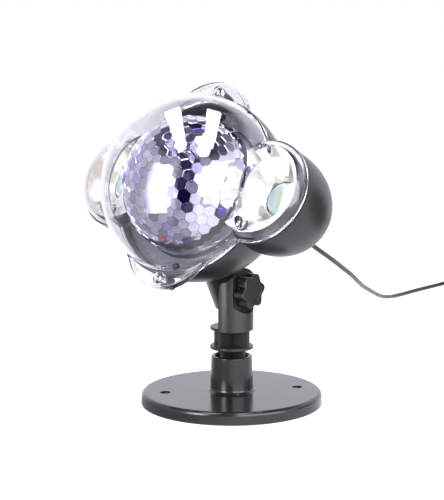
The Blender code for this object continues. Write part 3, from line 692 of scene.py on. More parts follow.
def back_shape(wall, top, fine):
    """The housing's outside, or its inside for a given wall, open upwards to the top."""
    radius = GLOBE_RADIUS - wall
    bowl = [(r, 2 * GLOBE_CENTRE - z) for r, z in ellipse_profile(radius, radius, GLOBE_CENTRE, 36 if fine else 18)]
    globe = turned([(0, top), (radius, top), *reversed(bowl)], sides=144 if fine else 72)
    lobes = []
    for side in (-1, 1):
        radius = LOBE_RADIUS - wall
        end = [(r, -29.0 - z) for r, z in ellipse_profile(radius, 43.0 - wall, -14.5, 24 if fine else 12)]
        lobe = turned([(0, top + 0.3), (radius, top + 0.3), *reversed(end)], sides=112 if fine else 56)
        lobes.append(move(lobe, (side * LOBE_OFFSET, 0, 0)))
    return join(globe, *lobes)


def ear_outline(inset, side):
    """One ear with hollow fillets where it leaves the round rim."""
    rim, ear, fillet = GLOBE_RADIUS - inset, EAR_RADIUS - inset, EAR_FILLET + inset
    up = ((rim + fillet) ** 2 - (ear + fillet) ** 2 + EAR_CENTRE**2) / (2 * EAR_CENTRE)
    across = math.sqrt((rim + fillet) ** 2 - up**2)
    on_ear, on_rim = math.atan2(up - EAR_CENTRE, across), math.atan2(up, across)
    right = arc((across, up), fillet, math.pi + on_rim, math.pi + on_ear, 14)
    crown = arc((0, EAR_CENTRE), ear, on_ear, math.pi - on_ear, 64)[1:-1]
    points = [(20, 30), *right, *crown, *[(-x, y) for x, y in reversed(right)], (-20, 30)]
    return points if side > 0 else [(-x, -y) for x, y in points]


def front_shape(wall, low):
    """The cover's outside, or its inside for a given wall, open downwards to the low end."""
    radius, depth = COVER_RADIUS - wall, COVER_DEPTH - wall
    dome = turned([*ellipse_profile(radius, depth, 2.5, 40), (radius, low), (0, low)], sides=144)
    parts = []
    for side in (-1, 1):
        radius, depth = WINDOW_RADIUS - wall, WINDOW_DEPTH - wall
        profile = [*ellipse_profile(radius, depth, 2.6, 20), (radius, low - 0.3), (0, low - 0.3)]
        parts.append(move(turned(profile, sides=112), (side * LOBE_OFFSET, 0, 0)))
        inset = 0 if not wall else wall - 0.3
        ear = prism(ear_outline(inset, side), low - 0.6, 6.4 - inset)
        parts.append(ear if wall else rounded_edges(ear, 0.8, 60, 4))
    return join(dome, *parts)


def rim_outline_solid(inset, low, high):
    """A slice of the rim's outline: the round middle and the two lobes."""
    lobes = [
        disc(LOBE_RADIUS - inset, low - 0.1, high + 0.1, (side * LOBE_OFFSET, 0), 112) for side in (-1, 1)
    ]
    return join(disc(GLOBE_RADIUS - inset, low, high, sides=144), *lobes)


def screw_bore(place, low, high, shoulder=-7.0):
    profile = [(0, high), (1.7, high), (1.7, shoulder), (3.1, shoulder), (3.1, low), (0, low)]
    return move(turned(profile, sides=24), (*place, 0))


def half_column(side, length, sides=80):
    """Half of a round column on one side of X = 0, rounded at the bolt's end."""
    reach = COLUMN_RADIUS + 0.2
    outline = [(reach, length), *arc((0, 0), reach, 0, -math.pi, 48), (-reach, length)]
    near, far = sorted((side * 0.15, side * (COLUMN_RADIUS + 1)))
    slab = move(prism(outline, near, far), turn=FACE_X)
    return combine(slab, [disc(COLUMN_RADIUS, -COLUMN_RADIUS - 1, length + 1, sides=sides)], "INTERSECT")


def hexagon(radius):
    return [(radius * math.cos(k * math.tau / 6), radius * math.sin(k * math.tau / 6)) for k in range(6)]


# ------------------------------------------------------------------ operators


class ProjectorOperator(bpy.types.Operator):
    bl_options = {"REGISTER", "UNDO"}

    def execute(self, context):
        self.build(sizes())
        return {"FINISHED"}


class BuildStudio(ProjectorOperator):
    """Pale floor, soft boxes and the camera"""

    bl_idname = "projector.build_studio"
    bl_label = "Studio"
    HEAD_PLACE = (0, -0.041, 0.154)
    CAMERA_AIM = (0, 0, 0.10)
    CAMERA_TURN, CAMERA_LIFT = math.radians(38.5), math.radians(9.04)

    def build(self, size):
        scene = bpy.context.scene
        scene.view_settings.view_transform = "Standard"
        floor = turned([(0, 0), (9000, 0), (9000, -20), (0, -20)], sides=128)
        move(floor, (0, 0, -0.05))
        floor.data.transform(Matrix.Scale(MM, 4))
        floor.name = "floor"
        floor.data.materials.append(self.paper())
        self.world(scene)
        self.lights()
        self.camera(scene)

    def paper(self):
        """White paper that glows evenly white where it is seen straight. Seen in a reflection, it glows instead with
        the room's bright and dark places by direction, a painted reflection of the room, so reflections find the same
        bright and dark places in it as in the room.
        """
        made, tree, shader, coords = new_material(
            "floor_paper", Base_Color=(0.34, 0.34, 0.34, 1), Roughness=0.9,
            Emission_Color=(1, 1, 1, 1), Emission_Strength=0.78,
        )
        from_head = add(tree, "ShaderNodeVectorMath", {"operation": "SUBTRACT"}, {0: coords, 1: self.HEAD_PLACE})
        ahead = add(tree, "ShaderNodeVectorMath", {"operation": "NORMALIZE"}, {0: from_head.outputs[0]})
        # Painted reflection: for reflected rays the floor glows with the room's bright and dark places, chosen by
        # direction from the head.
        around = add(tree, "ShaderNodeEmission", links={"Color": self.surroundings(tree, ahead.outputs[0])})
        mix = add(tree, "ShaderNodeMixShader", links={
            0: self.unreflected(tree), 1: around.outputs[0], 2: shader.outputs[0],
        })
        tree.links.new(mix.outputs[0], tree.nodes["Material Output"].inputs["Surface"])
        return made

    def surroundings(self, tree, ahead):
        """The room's brightness by direction: white, a greyer left, a dark ceiling and a dark place in front."""
        zones = (
            ((-0.80, -0.60, 0.0), 0.45, 0.80, (0.72, 0.71, 0.78)),
            ((-0.41, -0.49, -0.77), 0.66, 0.84, (0.50, 0.48, 0.54)),
            ((0.0, 0.0, 1.0), 0.60, 0.74, (0.09, 0.09, 0.11)),
            ((0.61, 0.78, -0.14), 0.90, 0.96, (0.06, 0.06, 0.07)),
        )
        colour_now = (1.30, 1.27, 1.38, 1)
        for middle, start, full, shade in zones:
            share = self.toward(tree, ahead, middle, start, full)
            mix = add(tree, "ShaderNodeMix", {"data_type": "RGBA"}, {0: share, 6: colour_now, 7: (*shade, 1)})
            colour_now = mix.outputs[2]
        # The dark place is a tall band, as wide as a person.
        aside = add(tree, "ShaderNodeVectorMath", {"operation": "DOT_PRODUCT"}, {0: ahead, 1: (0.891, 0.454, 0)})
        off = add(tree, "ShaderNodeMath", {"operation": "ABSOLUTE"}, {0: aside.outputs["Value"]})
        inside = add(tree, "ShaderNodeMapRange", links={"Value": off.outputs[0], "From Min": 0.26, "From Max": 0.18})
        facing = self.toward(tree, ahead, (0.454, -0.891, 0), 0.1, 0.25)
        above = self.toward(tree, ahead, (0, 0, 1), -0.62, -0.52)
        both = add(tree, "ShaderNodeMath", {"operation": "MULTIPLY"}, {0: inside.outputs[0], 1: facing})
        every = add(tree, "ShaderNodeMath", {"operation": "MULTIPLY"}, {0: both.outputs[0], 1: above})
        mix = add(tree, "ShaderNodeMix", {"data_type": "RGBA"}, {
            0: every.outputs[0], 6: colour_now, 7: (0.035, 0.03, 0.09, 1),
        })
        return mix.outputs[2]

    def toward(self, tree, ahead, middle, start, full):
        """How far a direction lies within a zone, from the cosines where the zone starts and is full."""
        near = add(tree, "ShaderNodeVectorMath", {"operation": "DOT_PRODUCT"}, {0: ahead, 1: middle})
        return add(tree, "ShaderNodeMapRange", links={
            "Value": near.outputs["Value"], "From Min": start, "From Max": full,
        }).outputs[0]

    def unreflected(self, tree):
        """1 for light that comes straight or through clear plastic, and 0 for light that was reflected."""
        path = add(tree, "ShaderNodeLightPath")
        bounces = add(tree, "ShaderNodeMath", links={
            0: path.outputs["Glossy Depth"], 1: path.outputs["Diffuse Depth"],
        })
        return add(tree, "ShaderNodeMath", {"operation": "LESS_THAN"}, {0: bounces.outputs[0], 1: 0.5}).outputs[0]

    def world(self, scene):
        """A white room, and for reflections the bright and dark places round the head."""
        world = bpy.data.worlds.new("studio")
        scene.world = world
        world.use_nodes = True
        tree = world.node_tree
        back = tree.nodes["Background"]
        back.inputs["Color"].default_value = (1, 1, 1, 1)
        ahead = add(tree, "ShaderNodeTexCoord").outputs["Generated"]
        around = add(tree, "ShaderNodeBackground", links={"Color": self.surroundings(tree, ahead), "Strength": 1.0})
        mix = add(tree, "ShaderNodeMixShader", links={
            0: self.unreflected(tree), 1: around.outputs[0], 2: back.outputs[0],
        })
        tree.links.new(mix.outputs[0], tree.nodes["World Output"].inputs["Surface"])

    def lights(self):
        """Two long boxes overhead, which point as the camera does, and a tall one at each side."""
        head = Vector(self.HEAD_PLACE)
        along = math.atan2(-0.77, 0.63)
        boxes = (
            ("strip_left", (-0.23, -0.25, 1.05), None, (1.05, 0.20), 9.0),
            ("strip_right", (0.243, 0.01, 1.05), None, (1.05, 0.20), 9.0),
            ("panel_left", (-0.075, -0.453, 0.21), head, (0.24, 0.40), 3.4),
            ("panel_right", (0.65, -0.18, 0.31), head, (0.78, 0.60), 5.5),
        )
        for name, place, target, (wide, tall), power in boxes:
            data = bpy.data.lights.new(name, "AREA")
            data.shape = "RECTANGLE"
            data.size, data.size_y = wide, tall
            data.energy = power
            made = bpy.data.objects.new(name, data)
            made.location = place
            if target:
                toward = target - Vector(place)
                toward.z = 0
                made.rotation_euler = toward.to_track_quat("-Z", "Y").to_euler()
                if name == "panel_left":
                    self.fade(data)
            else:
                made.rotation_euler = (0, 0, along)
            bpy.context.scene.collection.objects.link(made)

    def fade(self, data):
        """Let the panel's light fall off towards its left side, as a lit cloth does."""
        data.use_nodes = True
        tree = data.node_tree
        over = add(tree, "ShaderNodeNewGeometry").outputs["Parametric"]
        split = add(tree, "ShaderNodeSeparateXYZ", links={0: over})
        share = add(tree, "ShaderNodeMapRange", links={
            "Value": split.outputs[0], "From Min": 0.15, "From Max": 0.55, "To Min": 0.05, "To Max": 1.0,
        })
        tree.links.new(share.outputs[0], tree.nodes["Emission"].inputs["Strength"])

    def camera(self, scene):
        data = bpy.data.cameras.new("camera")
        data.lens = 105.47
        data.sensor_width = 36
        data.shift_x, data.shift_y = -0.0194, 0.0190
        data.clip_start, data.clip_end = 0.05, 30
        made = bpy.data.objects.new("camera", data)
        turn, lift = self.CAMERA_TURN, self.CAMERA_LIFT
        back = Vector((math.sin(turn) * math.cos(lift), -math.cos(turn) * math.cos(lift), math.sin(lift)))
        made.location = Vector(self.CAMERA_AIM) + back
        made.rotation_euler = back.to_track_quat("Z", "Y").to_euler()
        scene.collection.objects.link(made)
        scene.camera = made


class BuildCord(ProjectorOperator):
    """Lead with its coil and tie, strain relief and plug-in adapter"""

    bl_idname = "projector.build_cord"
    bl_label = "Cord and adapter"

    def build(self, size):
        points = cord_points()
        cord = sweep(points, size.cord_diameter / 2)
        tie = self.tie()
        parts = [tie, *self.adapter()]
        exit_at = tuple(c * MM for c in LEAD_ROUTE[0])
        finish_piece(
            cord, "lead", WORLD, pvc_jacket(), None, ("power_cord", "cord_coil", "cord_tail"), 60,
            ("head", "post", exit_at, tuple(c * MM for c in LEAD_ROUTE[BEND_END])),
        )
        self.gland()

    def tie(self):
        """A moulded band that closes round the coil."""
        half, high = 9.7, 15.1
        outer = filleted([(20 - half - 0.5, 0, 1.2), (20 + half + 0.5, 0, 1.2),
                          (20 + half + 0.5, high + 0.5, 2.0), (20 - half - 0.5, high + 0.5, 2.0)])
        inner = filleted([(20 - half, 0.5, 0.8), (20 + half, 0.5, 0.8),
                          (20 + half, high, 1.6), (20 - half, high, 1.6)])
        band = cut(move(prism(outer, -2.5, 2.5), turn=ON_EDGE), move(prism(inner, -4, 4), turn=ON_EDGE))
        place = Matrix.Translation((*COIL_CENTRE, 0)) @ about("Z", math.radians(-40))
        surface = plain_plastic("nylon_tie", "#1b1b1c", 0.45)
        return finish_piece(band, "coil_band", place, surface, "post", ("coil_tie",))

    def adapter(self):
        x, y = ADAPTER_MIDDLE
        body = block((-21, -31, 0), (21, 31, 28), 3.4, 5)
        seam = cut(block((-23, -33, 13.8), (23, 33, 14.2)), block((-20.6, -30.6, 13), (20.6, 30.6, 15)))
        face = block((-14.5, -12, 27.5), (14.5, 12, 30))
        slots = [block((side * BLADE_OFFSET - 1.0, -3.5, 20), (side * BLADE_OFFSET + 1.0, 3.5, 30)) for side in (-1, 1)]
        grips = [
            block((side * 21 - 0.5, -18 + k * 4.0, 5), (side * 21 + 0.5, -16.4 + k * 4.0, 11))
            for side in (-1, 1) for k in range(4)
        ]
        cut(body, seam, face, *slots, *grips)
        place = Matrix.Translation((x, y, 0))
        case = moulded_abs("abs_adapter", finishes().shell, 0.38, 0.46, 0.02)
        made = [finish_piece(body, "adapter_case", place, case, "post", ("adapter_body",))]
        for side, word in ((-1, "left"), (1, "right")):
            blade = prism(filleted([(-3.2, 22.3), (3.2, 22.3), (3.2, 44, 1.4), (-3.2, 44, 1.4)]), -0.75, 0.75)
            move(blade, turn=FACE_X)
            move(blade, (side * BLADE_OFFSET, 0, 0))
            hole = move(along_x(disc(1.6, -20, 20)), (0, 0, 40.2))
            made.append(finish_piece(
                cut(blade, hole), f"blade_{word}", place, metal("brass_nickel_plated", "#d3cfc4", 0.14, 0.28),
                "post", (f"adapter_blade_{word}",),
            ))
        start = y + 31 + 0.3
        made.append(self.relief(
            "adapter_strain_relief", "adapter_relief", "post", 4.5, 2.5, 14.0,
            Matrix.Translation((x, start, 10.0)) @ about("X", -math.pi / 2),
        ))
        return made

    def gland(self):
        """The grommet in the back wall, with its ribbed sleeve."""
        place = HEAD @ Matrix.Translation((0, GLAND_UP, GLAND_SEAT - 0.3)) @ about("X", math.pi)
        self.relief("cord_strain_relief", "cable_gland", "head", 6.1, 2.55, 21.1, place, True)

    def relief(self, name, node, body, wide, narrow, length, place, inside=False):
        """A tapered sleeve with flexing ribs, repeated along it by Geometry Nodes."""
        core = [(0, 0), (wide, 0), (wide, 2.0, 0.6), (wide * 0.68, 3.4, 0.5), (narrow, length, 0.2), (0, length)]
        sleeve = turned(filleted(core, 4), sides=40)
        if inside:
            neck = [(0, -6.7), (5.5, -6.7), (5.5, -5.6), (4.0, -5.6), (4.0, 0.5), (0, 0.5)]
            join(sleeve, turned(neck, sides=40))
        tree, inputs = geometry_tree(f"{name}_ribs", (
            ("Count", "NodeSocketInt"), ("Start", "NodeSocketFloat"), ("Pitch", "NodeSocketFloat"),
            ("Wide", "NodeSocketFloat"), ("Taper", "NodeSocketFloat"), ("Material", "NodeSocketMaterial"),
        ))
        start = add(tree, "ShaderNodeCombineXYZ", links={"Z": inputs["Start"]})
        pitch = add(tree, "ShaderNodeCombineXYZ", links={"Z": inputs["Pitch"]})
        line = add(tree, "GeometryNodeMeshLine", links={
            "Count": inputs["Count"], "Start Location": start.outputs[0], "Offset": pitch.outputs[0],
        })
        rib = add(tree, "GeometryNodeMeshCylinder", links={"Vertices": 40, "Radius": 1.0, "Depth": 0.8})
        shrink = add(tree, "ShaderNodeMath", {"operation": "MULTIPLY"}, {
            0: add(tree, "GeometryNodeInputIndex").outputs[0], 1: inputs["Taper"],
        })
        reach = add(tree, "ShaderNodeMath", {"operation": "SUBTRACT"}, {0: inputs["Wide"], 1: shrink.outputs[0]})
        scale = add(tree, "ShaderNodeCombineXYZ", links={"X": reach.outputs[0], "Y": reach.outputs[0], "Z": 1.0})
        copies = add(tree, "GeometryNodeInstanceOnPoints", links={
            "Points": line.outputs[0], "Instance": rib.outputs[0], "Scale": scale.outputs[0],
        })
        close_tree(tree, copies.outputs[0], inputs["Material"])
        count = max(3, int((length - 6) / 2.4))
        rubber = plain_plastic("soft_pvc_relief", "#161617", 0.5, 0.015)
        first = wide * 0.68
        ribs = grown(points_host([(0, 0, 0)]), tree, {
            "Count": count, "Start": 5.0, "Pitch": 2.4, "Wide": first - 0.05,
            "Taper": (first - narrow) / (count + 1.2), "Material": rubber,
        })
        bm = bmesh.new()
        bm.from_mesh(ribs.data)
        drop(ribs)
        join(sleeve, to_object(bm))
        rounded_edges(sleeve, 0.15, 50, 2)
        return finish_piece(sleeve, name, place, rubber, body, (node,))


class BuildStand(ProjectorOperator):
    """Disc, swivel post and the clamp with its knob"""

    bl_idname = "projector.build_stand"
    bl_label = "Stand"

    def build(self, size):
        self.disc()
        self.post(size)
        self.clamp()

    def disc(self):
        outside = filleted([
            (0, 33.4), (14.1, 33.4, 0.6), (14.95, 8.8, 2.6), (20, 8.8), (57, 8.8),
            (62.1, 8.8, 2.8), (62.5, 0, 0.8), (0, 0),
        ], 8)
        body = turned(outside, sides=160)
        under = turned([(60.1, -1), (16.9, -1), (16.9, 7.0), (60.1, 5.5)], closed=True, sides=96)
        ribs, holes = [], []
        turn, circle = math.radians(48), 46.3
        for k in range(6):
            rib = block((-62, -1, 0.8), (62, 1, 12))
            ribs.append(move(rib, turn=about("Z", turn + math.pi * (k + 0.5) / 6)))
        for side in (-1, 1):
            place = Vector((math.cos(turn), math.sin(turn))) * circle * side
            ribs.append(disc(5.5, 0, 12, place))
            sink = turned([(0, 12), (3.7, 12), (3.7, 8.0), (2.3, 6.4), (2.3, -2), (0, -2)], sides=48)
            holes.append(move(sink, (*place, 0)))
        cut(under, *ribs)
        bore = turned([(0, 40), (12.3, 40), (12.3, 33.2), (11.7, 32.6), (11.7, 3.0), (0, 3.0)], sides=80)
        cut(body, under, bore, *holes)
        rounded_edges(body, 0.2, 40, 2)
        finish_piece(body, "stand_disc", WORLD, gloss_black(), "base", ("base_disc",), even=True)

    def post(self, size):
        body = turned(filleted([(0, 40.5), (15.0, 40.5, 0.5), (15.0, 38.5, 0.5), (0, 38.5)]), sides=96)
        upper = turned(filleted([(0, 53.9), (14.9, 53.9, 0.5), (14.9, 51.9, 0.5), (0, 51.9)]), sides=96)
        parts = [upper]
        for angle in (0, math.pi / 2):
            spread = 0.8 * angle / math.pi
            plug = prism(filleted([(-11.2, 7.0 + spread, 1.2), (11.2, 7.0 + spread, 1.2), (11.2, 39.5),
                                   (-11.2, 39.5)]), -1.3, 1.3)
            web = prism([(-14.6 + spread, 39.0), (14.6 - spread, 39.0), (14.6 - spread, 53.5),
                         (-14.6 + spread, 53.5)], -1.3, 1.3)
            for wall in (plug, web):
                move(wall, turn=about("Z", angle) @ about("X", math.pi / 2))
                parts.append(wall)
        parts.append(move(half_column(1, 28.0), (0, 0, PIVOT_HEIGHT), about("X", math.pi)))
        join(body, *parts)
        lift = (0, 0, PIVOT_HEIGHT)
        seat = move(along_x(disc(15.5, 10.0, 20)), lift)
        hole = move(along_x(disc(3.2, -2, 20)), lift)
        core = block((-1, -9, 55.5), (8.5, 9, 65.8), 1.0)
        cut(body, seat, hole, core)
        rounded_edges(body, size.edge_round, 40, 2)
        finish_piece(body, "post_moulding", WORLD, shell_black(), "post", ("swivel_post",), even=True)

    def clamp(self):
        steel = zinc_steel()
        head = rounded_edges(prism(hexagon(5.75), -13.2, -9.3), 0.35, 50, 3)
        mark = disc(2.6, -14, -12.9)
        shank = turned(filleted([(0, -10), (2.75, -10), (2.75, 17.2, 0.6), (0, 17.2)]), sides=32)
        finish_piece(
            join(cut(head, mark), shank), "bolt", CLAMP, steel, "head", ("tilt_bolt",)
        )
        washer = filleted([(6.0, 11.1, 0.2), (6.0, 10.3, 0.2), (3.2, 10.3), (3.2, 11.1)])
        finish_piece(
            turned(washer, closed=True, sides=64), "washer", CLAMP, steel, "head", ("friction_washer",)
        )
        insert = [(4.4, 17.4), (4.4, 11.6), (2.95, 11.6), (2.95, 17.4)]
        finish_piece(
            turned(insert, closed=True, sides=48), "insert", CLAMP, metal("brass_turned", "#c9a25a", 0.2, 0.32),
            "knob", ("knob_insert",),
        )
        self.knob()

    def knob(self):
        """Six lobes round a dished face. Behind the face the valleys are cored out and leave a web in each lobe."""
        steps, lobes = 144, 6
        first = math.radians(9.6)
        outline = []
        for k in range(steps):
            angle = math.tau * k / steps
            reach = 11.2 + 1.3 * math.cos(lobes * (angle - first))
            outline.append((reach * math.cos(angle), reach * math.sin(angle)))
        body = rounded_edges(prism(outline, 11.4, 19.4), 0.8, 60, 4)
        dish = turned(filleted([(0, 21), (9.6, 21), (8.9, 18.5, 0.6), (0, 18.3)]), sides=64)
        pocket = disc(4.7, 10, 17.6)
        core = turned([(8.3, 16.4), (8.3, 10), (5.7, 10), (5.7, 16.4)], closed=True, sides=64)
        valleys = []
        for k in range(lobes):
            turn = first + math.tau * (k + 0.5) / lobes
            valleys.append(disc(3.7, 10, 17.0, (11.9 * math.cos(turn), 11.9 * math.sin(turn))))
            web = block((5.0, -0.8, 9.0), (9.5, 0.8, 17.5))
            cut(core, move(web, turn=about("Z", first + math.tau * k / lobes)))
        cut(body, dish, pocket, core, *valleys)
        rounded_edges(body, 0.18, 60, 2)
        finish_piece(body, "knob", CLAMP, shell_black(), "knob", ("clamp_knob",), even=True)


class BuildHousing(ProjectorOperator):
    """Black rear housing with its half stem, and the seal on its rim"""

    bl_idname = "projector.build_housing"
    bl_label = "Rear housing"

    def build(self, size):
        outer = back_shape(0, 2, True)
        stem = half_column(-1, 82.8 - GLOBE_RADIUS + 12)
        stem.data.transform(HEAD.inverted() @ STEM)
        seat = turned(filleted([(0, -50), (7.5, -50), (7.5, GLAND_SEAT, 0.6), (0, GLAND_SEAT)]), sides=64)
        towers = []
        for up in (-1, 1):
            shape = filleted([(0, 2), (3.9, 2), (3.9, -8, 1.5), (3.4, -10.6, 0.5), (0, -10.8)])
            towers.append(move(turned(shape, sides=40), (0, up * EAR_SCREW, 0)))
        join(outer, stem, move(seat, (0, GLAND_UP, 0)), *towers)
        cavity = back_shape(size.shell_wall, 4, False)
        posts = [disc(4.3, -60, 6, place) for place in BOSS_PLACES]
        for side in (-1, 1):
            posts.append(disc(3.0, -70, -52.1, (side * MOTOR_SCREW, 0)))
            posts.append(disc(3.0, -60, -10.3, (0, side * BEZEL_SCREW)))
            posts.append(disc(4.5, -70, -29.3, (side * LAMP_OFFSET, 0)))
        posts.append(disc(7.0, -70, -58.0, (0, GLAND_UP)))
        cut(cavity, *posts)
        tools = [cavity, slab(0, 9), disc(4.3, -70, -50, (0, GLAND_UP)),
                 disc(6.0, -59.0, -52, (0, GLAND_UP))]
        tools += [screw_bore(place, -70, 3.0) for place in BOSS_PLACES]
        tools += [screw_bore((0, side * EAR_SCREW), -30, 3.2) for side in (-1, 1)]
        cut(outer, *tools)
        for shape in (along_x(prism(hexagon(6.1), -20, -9)), along_x(disc(3.2, -12, 3))):
            shape.data.transform(HEAD.inverted() @ STEM)
            cut(outer, shape)
        rounded_edges(outer, 0.3, 42, 2)
        finish_piece(outer, "back_shell", HEAD, shell_black(), "head", ("rear_housing",))
        self.seal()

    def seal(self):
        ring = cut(rim_outline_solid(0.4, -1, 2), rim_outline_solid(2.2, -3, 4))
        trims = [slab(-6, 0.3), slab(1.1, 6)]
        clear = [disc(4.6, -6, 6, place) for place in BOSS_PLACES]
        cut(ring, *trims, *clear)
        surface = plain_plastic("silicone_seal", "#232326", 0.6)
        finish_piece(ring, "seal", HEAD, surface, "head", ("rim_gasket",))


class BuildCover(ProjectorOperator):
    """Clear dome with lobe windows, ears and screw bosses"""

    bl_idname = "projector.build_cover"
    bl_label = "Clear cover"

    def build(self, size):
        outer = front_shape(0, -1)
        flanges = [disc(GLOBE_RADIUS, -1.3, 3.4, sides=144)]
        for side in (-1, 1):
            flanges.append(disc(LOBE_RADIUS, -1.5, 3.3, (side * LOBE_OFFSET, 0), 112))
        join(outer, *flanges)
        cavity = front_shape(size.cover_wall, -3)
        bosses = [disc(3.4, -5, 40, place, 40) for place in BOSS_PLACES]
        bosses += [disc(4.0, -5, 9, (0, side * EAR_SCREW), 40) for side in (-1, 1)]
        cut(cavity, *bosses)
        tools = [cavity, slab(-9, 1.4)]
        tools += [disc(1.5, -9, 4.9, place, 24) for place in SCREW_PLACES]
        cut(outer, *tools)
        rounded_edges(outer, 0.25, 50, 2)
        finish_piece(
            outer, "clear_dome", HEAD, clear_polycarbonate(), "head", ("front_cover",), 24
        )


class BuildBall(ProjectorOperator):
    """Mirror ball of raised hexagonal tiles"""

    bl_idname = "projector.build_ball"
    bl_label = "Mirror ball"

    def build(self, size):
        tree, inputs = geometry_tree("mirror_tiles", (
            ("Radius", "NodeSocketFloat"), ("Detail", "NodeSocketInt"), ("Height", "NodeSocketFloat"),
            ("Share", "NodeSocketFloat"), ("Material", "NodeSocketMaterial"),
        ))
        inner = add(tree, "ShaderNodeMath", {"operation": "SUBTRACT"}, {0: inputs["Radius"], 1: inputs["Height"]})
        sphere = add(tree, "GeometryNodeMeshIcoSphere", links={
            "Radius": inner.outputs[0], "Subdivisions": inputs["Detail"],
        })
        cells = add(tree, "GeometryNodeDualMesh", links={0: sphere.outputs[0]})
        outward = add(tree, "ShaderNodeVectorMath", {"operation": "NORMALIZE"}, {
            0: add(tree, "GeometryNodeInputPosition").outputs[0],
        })
        onto = add(tree, "ShaderNodeVectorMath", {"operation": "SCALE"}, {
            0: outward.outputs[0], "Scale": inner.outputs[0],
        })
        even = add(tree, "GeometryNodeSetPosition", links={"Geometry": cells.outputs[0], "Position": onto.outputs[0]})
        tint = add(tree, "FunctionNodeRandomValue", {"data_type": "FLOAT"}, {"Seed": 11})
        stored = add(tree, "GeometryNodeStoreNamedAttribute", {"data_type": "FLOAT", "domain": "FACE"}, {
            "Geometry": even.outputs[0], "Name": "tile_tint", "Value": tint.outputs[1],
        })
        raised = add(tree, "GeometryNodeExtrudeMesh", {"mode": "FACES"}, {
            "Mesh": stored.outputs[0], "Offset Scale": inputs["Height"], "Individual": True,
        })
        tiles = add(tree, "GeometryNodeScaleElements", {"domain": "FACE"}, {
            "Geometry": raised.outputs[0], "Selection": raised.outputs["Top"], "Scale": inputs["Share"],
        })
        close_tree(tree, tiles.outputs[0], inputs["Material"])
        surface = silvered_tiles()
        ball = grown(points_host([(0, 0, 0)]), tree, {
            "Radius": size.ball_radius, "Detail": size.ball_detail, "Height": size.tile_height,
            "Share": size.tile_share, "Material": surface,
        })
        finish_piece(ball, "tiled_ball", HEAD, surface, "ball", ("mirror_ball",), 0)


class BuildLamps(ProjectorOperator):
    """Side lamps: bowl, lens, chip, board and heat sink"""

    bl_idname = "projector.build_lamps"
    bl_label = "Side lamps"

    def build(self, size):
        for side, word in ((-1, "left"), (1, "right")):
            place = HEAD @ Matrix.Translation((side * LAMP_OFFSET, 0, 0))
            self.lamp(word, place)

    def lamp(self, word, place):
        low, rise = -9.0, 17.0
        wide = [(11.7 + 6.1 * (k / 24) ** 0.6, low + rise * k / 24) for k in range(25)]
        lip = [(18.9, 8.0), (18.9, 7.0)]
        outer = [(r + 1.1, z) for r, z in reversed(wide) if z < 6.5]
        bowl = turned([*lip, *outer, *wide], closed=True, sides=96)
        for vert in bowl.data.vertices:
            vert.co.y *= 1 + (22.5 / 19.0 - 1) * (vert.co.z - low) / rise
        side = -1 if word == "left" else 1
        inward = side * (LOBE_OFFSET - LAMP_OFFSET)
        flange = disc(29.0, 6.8, 7.9, (inward, 0), 112)
        mouth = disc(18.5, 0, 20, sides=96)
        mouth.data.transform(Matrix.Diagonal((1, 22.0 / 18.5, 1, 1)))
        pegs = [disc(4.1, 0, 20, (x - side * LAMP_OFFSET, y)) for x, y in BOSS_PLACES if x * side > 0]
        cut(flange, mouth, disc(47.9, 0, 20, (-side * LAMP_OFFSET, 0), 128), *pegs)
        join(bowl, flange)
        rounded_edges(bowl, 0.15, 50)
        surface = self.bowl_silver()
        finish_piece(bowl, f"bowl_{word}", place, surface, "head", (f"lamp_reflector_{word}",), 40)

        face = ellipse_profile(11.15, 4.6, -9.9, 16)
        lens = turned([*face, (11.15, -11.3), (4.0, -11.3), (0, -11.2)], sides=96)
        finish_piece(lens, f"lens_{word}", place, lamp_acrylic(), "head", (f"lamp_lens_{word}",))

        chip = block((-4.5, -4.5, -12.9), (4.5, 4.5, -12.2), 0.2)
        gel = turned([(0, -11.7), (3.2, -11.85), (3.6, -12.4), (0, -12.4)], sides=48)
        phosphor = plain_plastic("phosphor_gel", "#e8c95a", 0.4)
        finish_piece(join(chip, gel), f"chip_{word}", place, phosphor, "head", (f"lamp_chip_{word}",))
        board = disc(12.8, -14.7, -13.2)
        notches = [disc(1.4, -16, -10, (11.9 * math.cos(a), 11.9 * math.sin(a))) for a in (0.4, 2.5, 4.6)]
        finish_piece(
            rounded_edges(cut(board, *notches), 0.15, 50), f"board_{word}", place,
            plain_plastic("white_solder_mask", "#e9e9e4", 0.35), "head", (f"lamp_board_{word}",),
        )
        sink = disc(12.8, -29.0, -15.0)
        slots = [block((-20, k * 4.0 - 1.0, -31), (20, k * 4.0 + 1.0, -18.5)) for k in (-2, -1, 0, 1, 2)]
        finish_piece(
            rounded_edges(cut(sink, *slots), 0.2, 50), f"heat_sink_{word}", place,
            metal("aluminium_cast", "#b6b7b9", 0.38, 0.55, grain_mm=0.8, depth=0.03), "head",
            (f"lamp_heat_sink_{word}",),
        )

    def bowl_silver(self):
        """Vacuum-metallised polycarbonate under a warm lacquer: soft mirror with blurred reflections."""
        made, tree, shader, coords = new_material(
            "polycarbonate_metallised", Base_Color=tuple(finishes().reflector), Metallic=1.0
        )
        if tree:
            tree.links.new(varied(tree, coords, 9, 0.20, 0.30), shader.inputs["Roughness"])
            bumped(tree, shader, varied(tree, coords, 7, 0, 1), 0.05, 0.6)
        return made


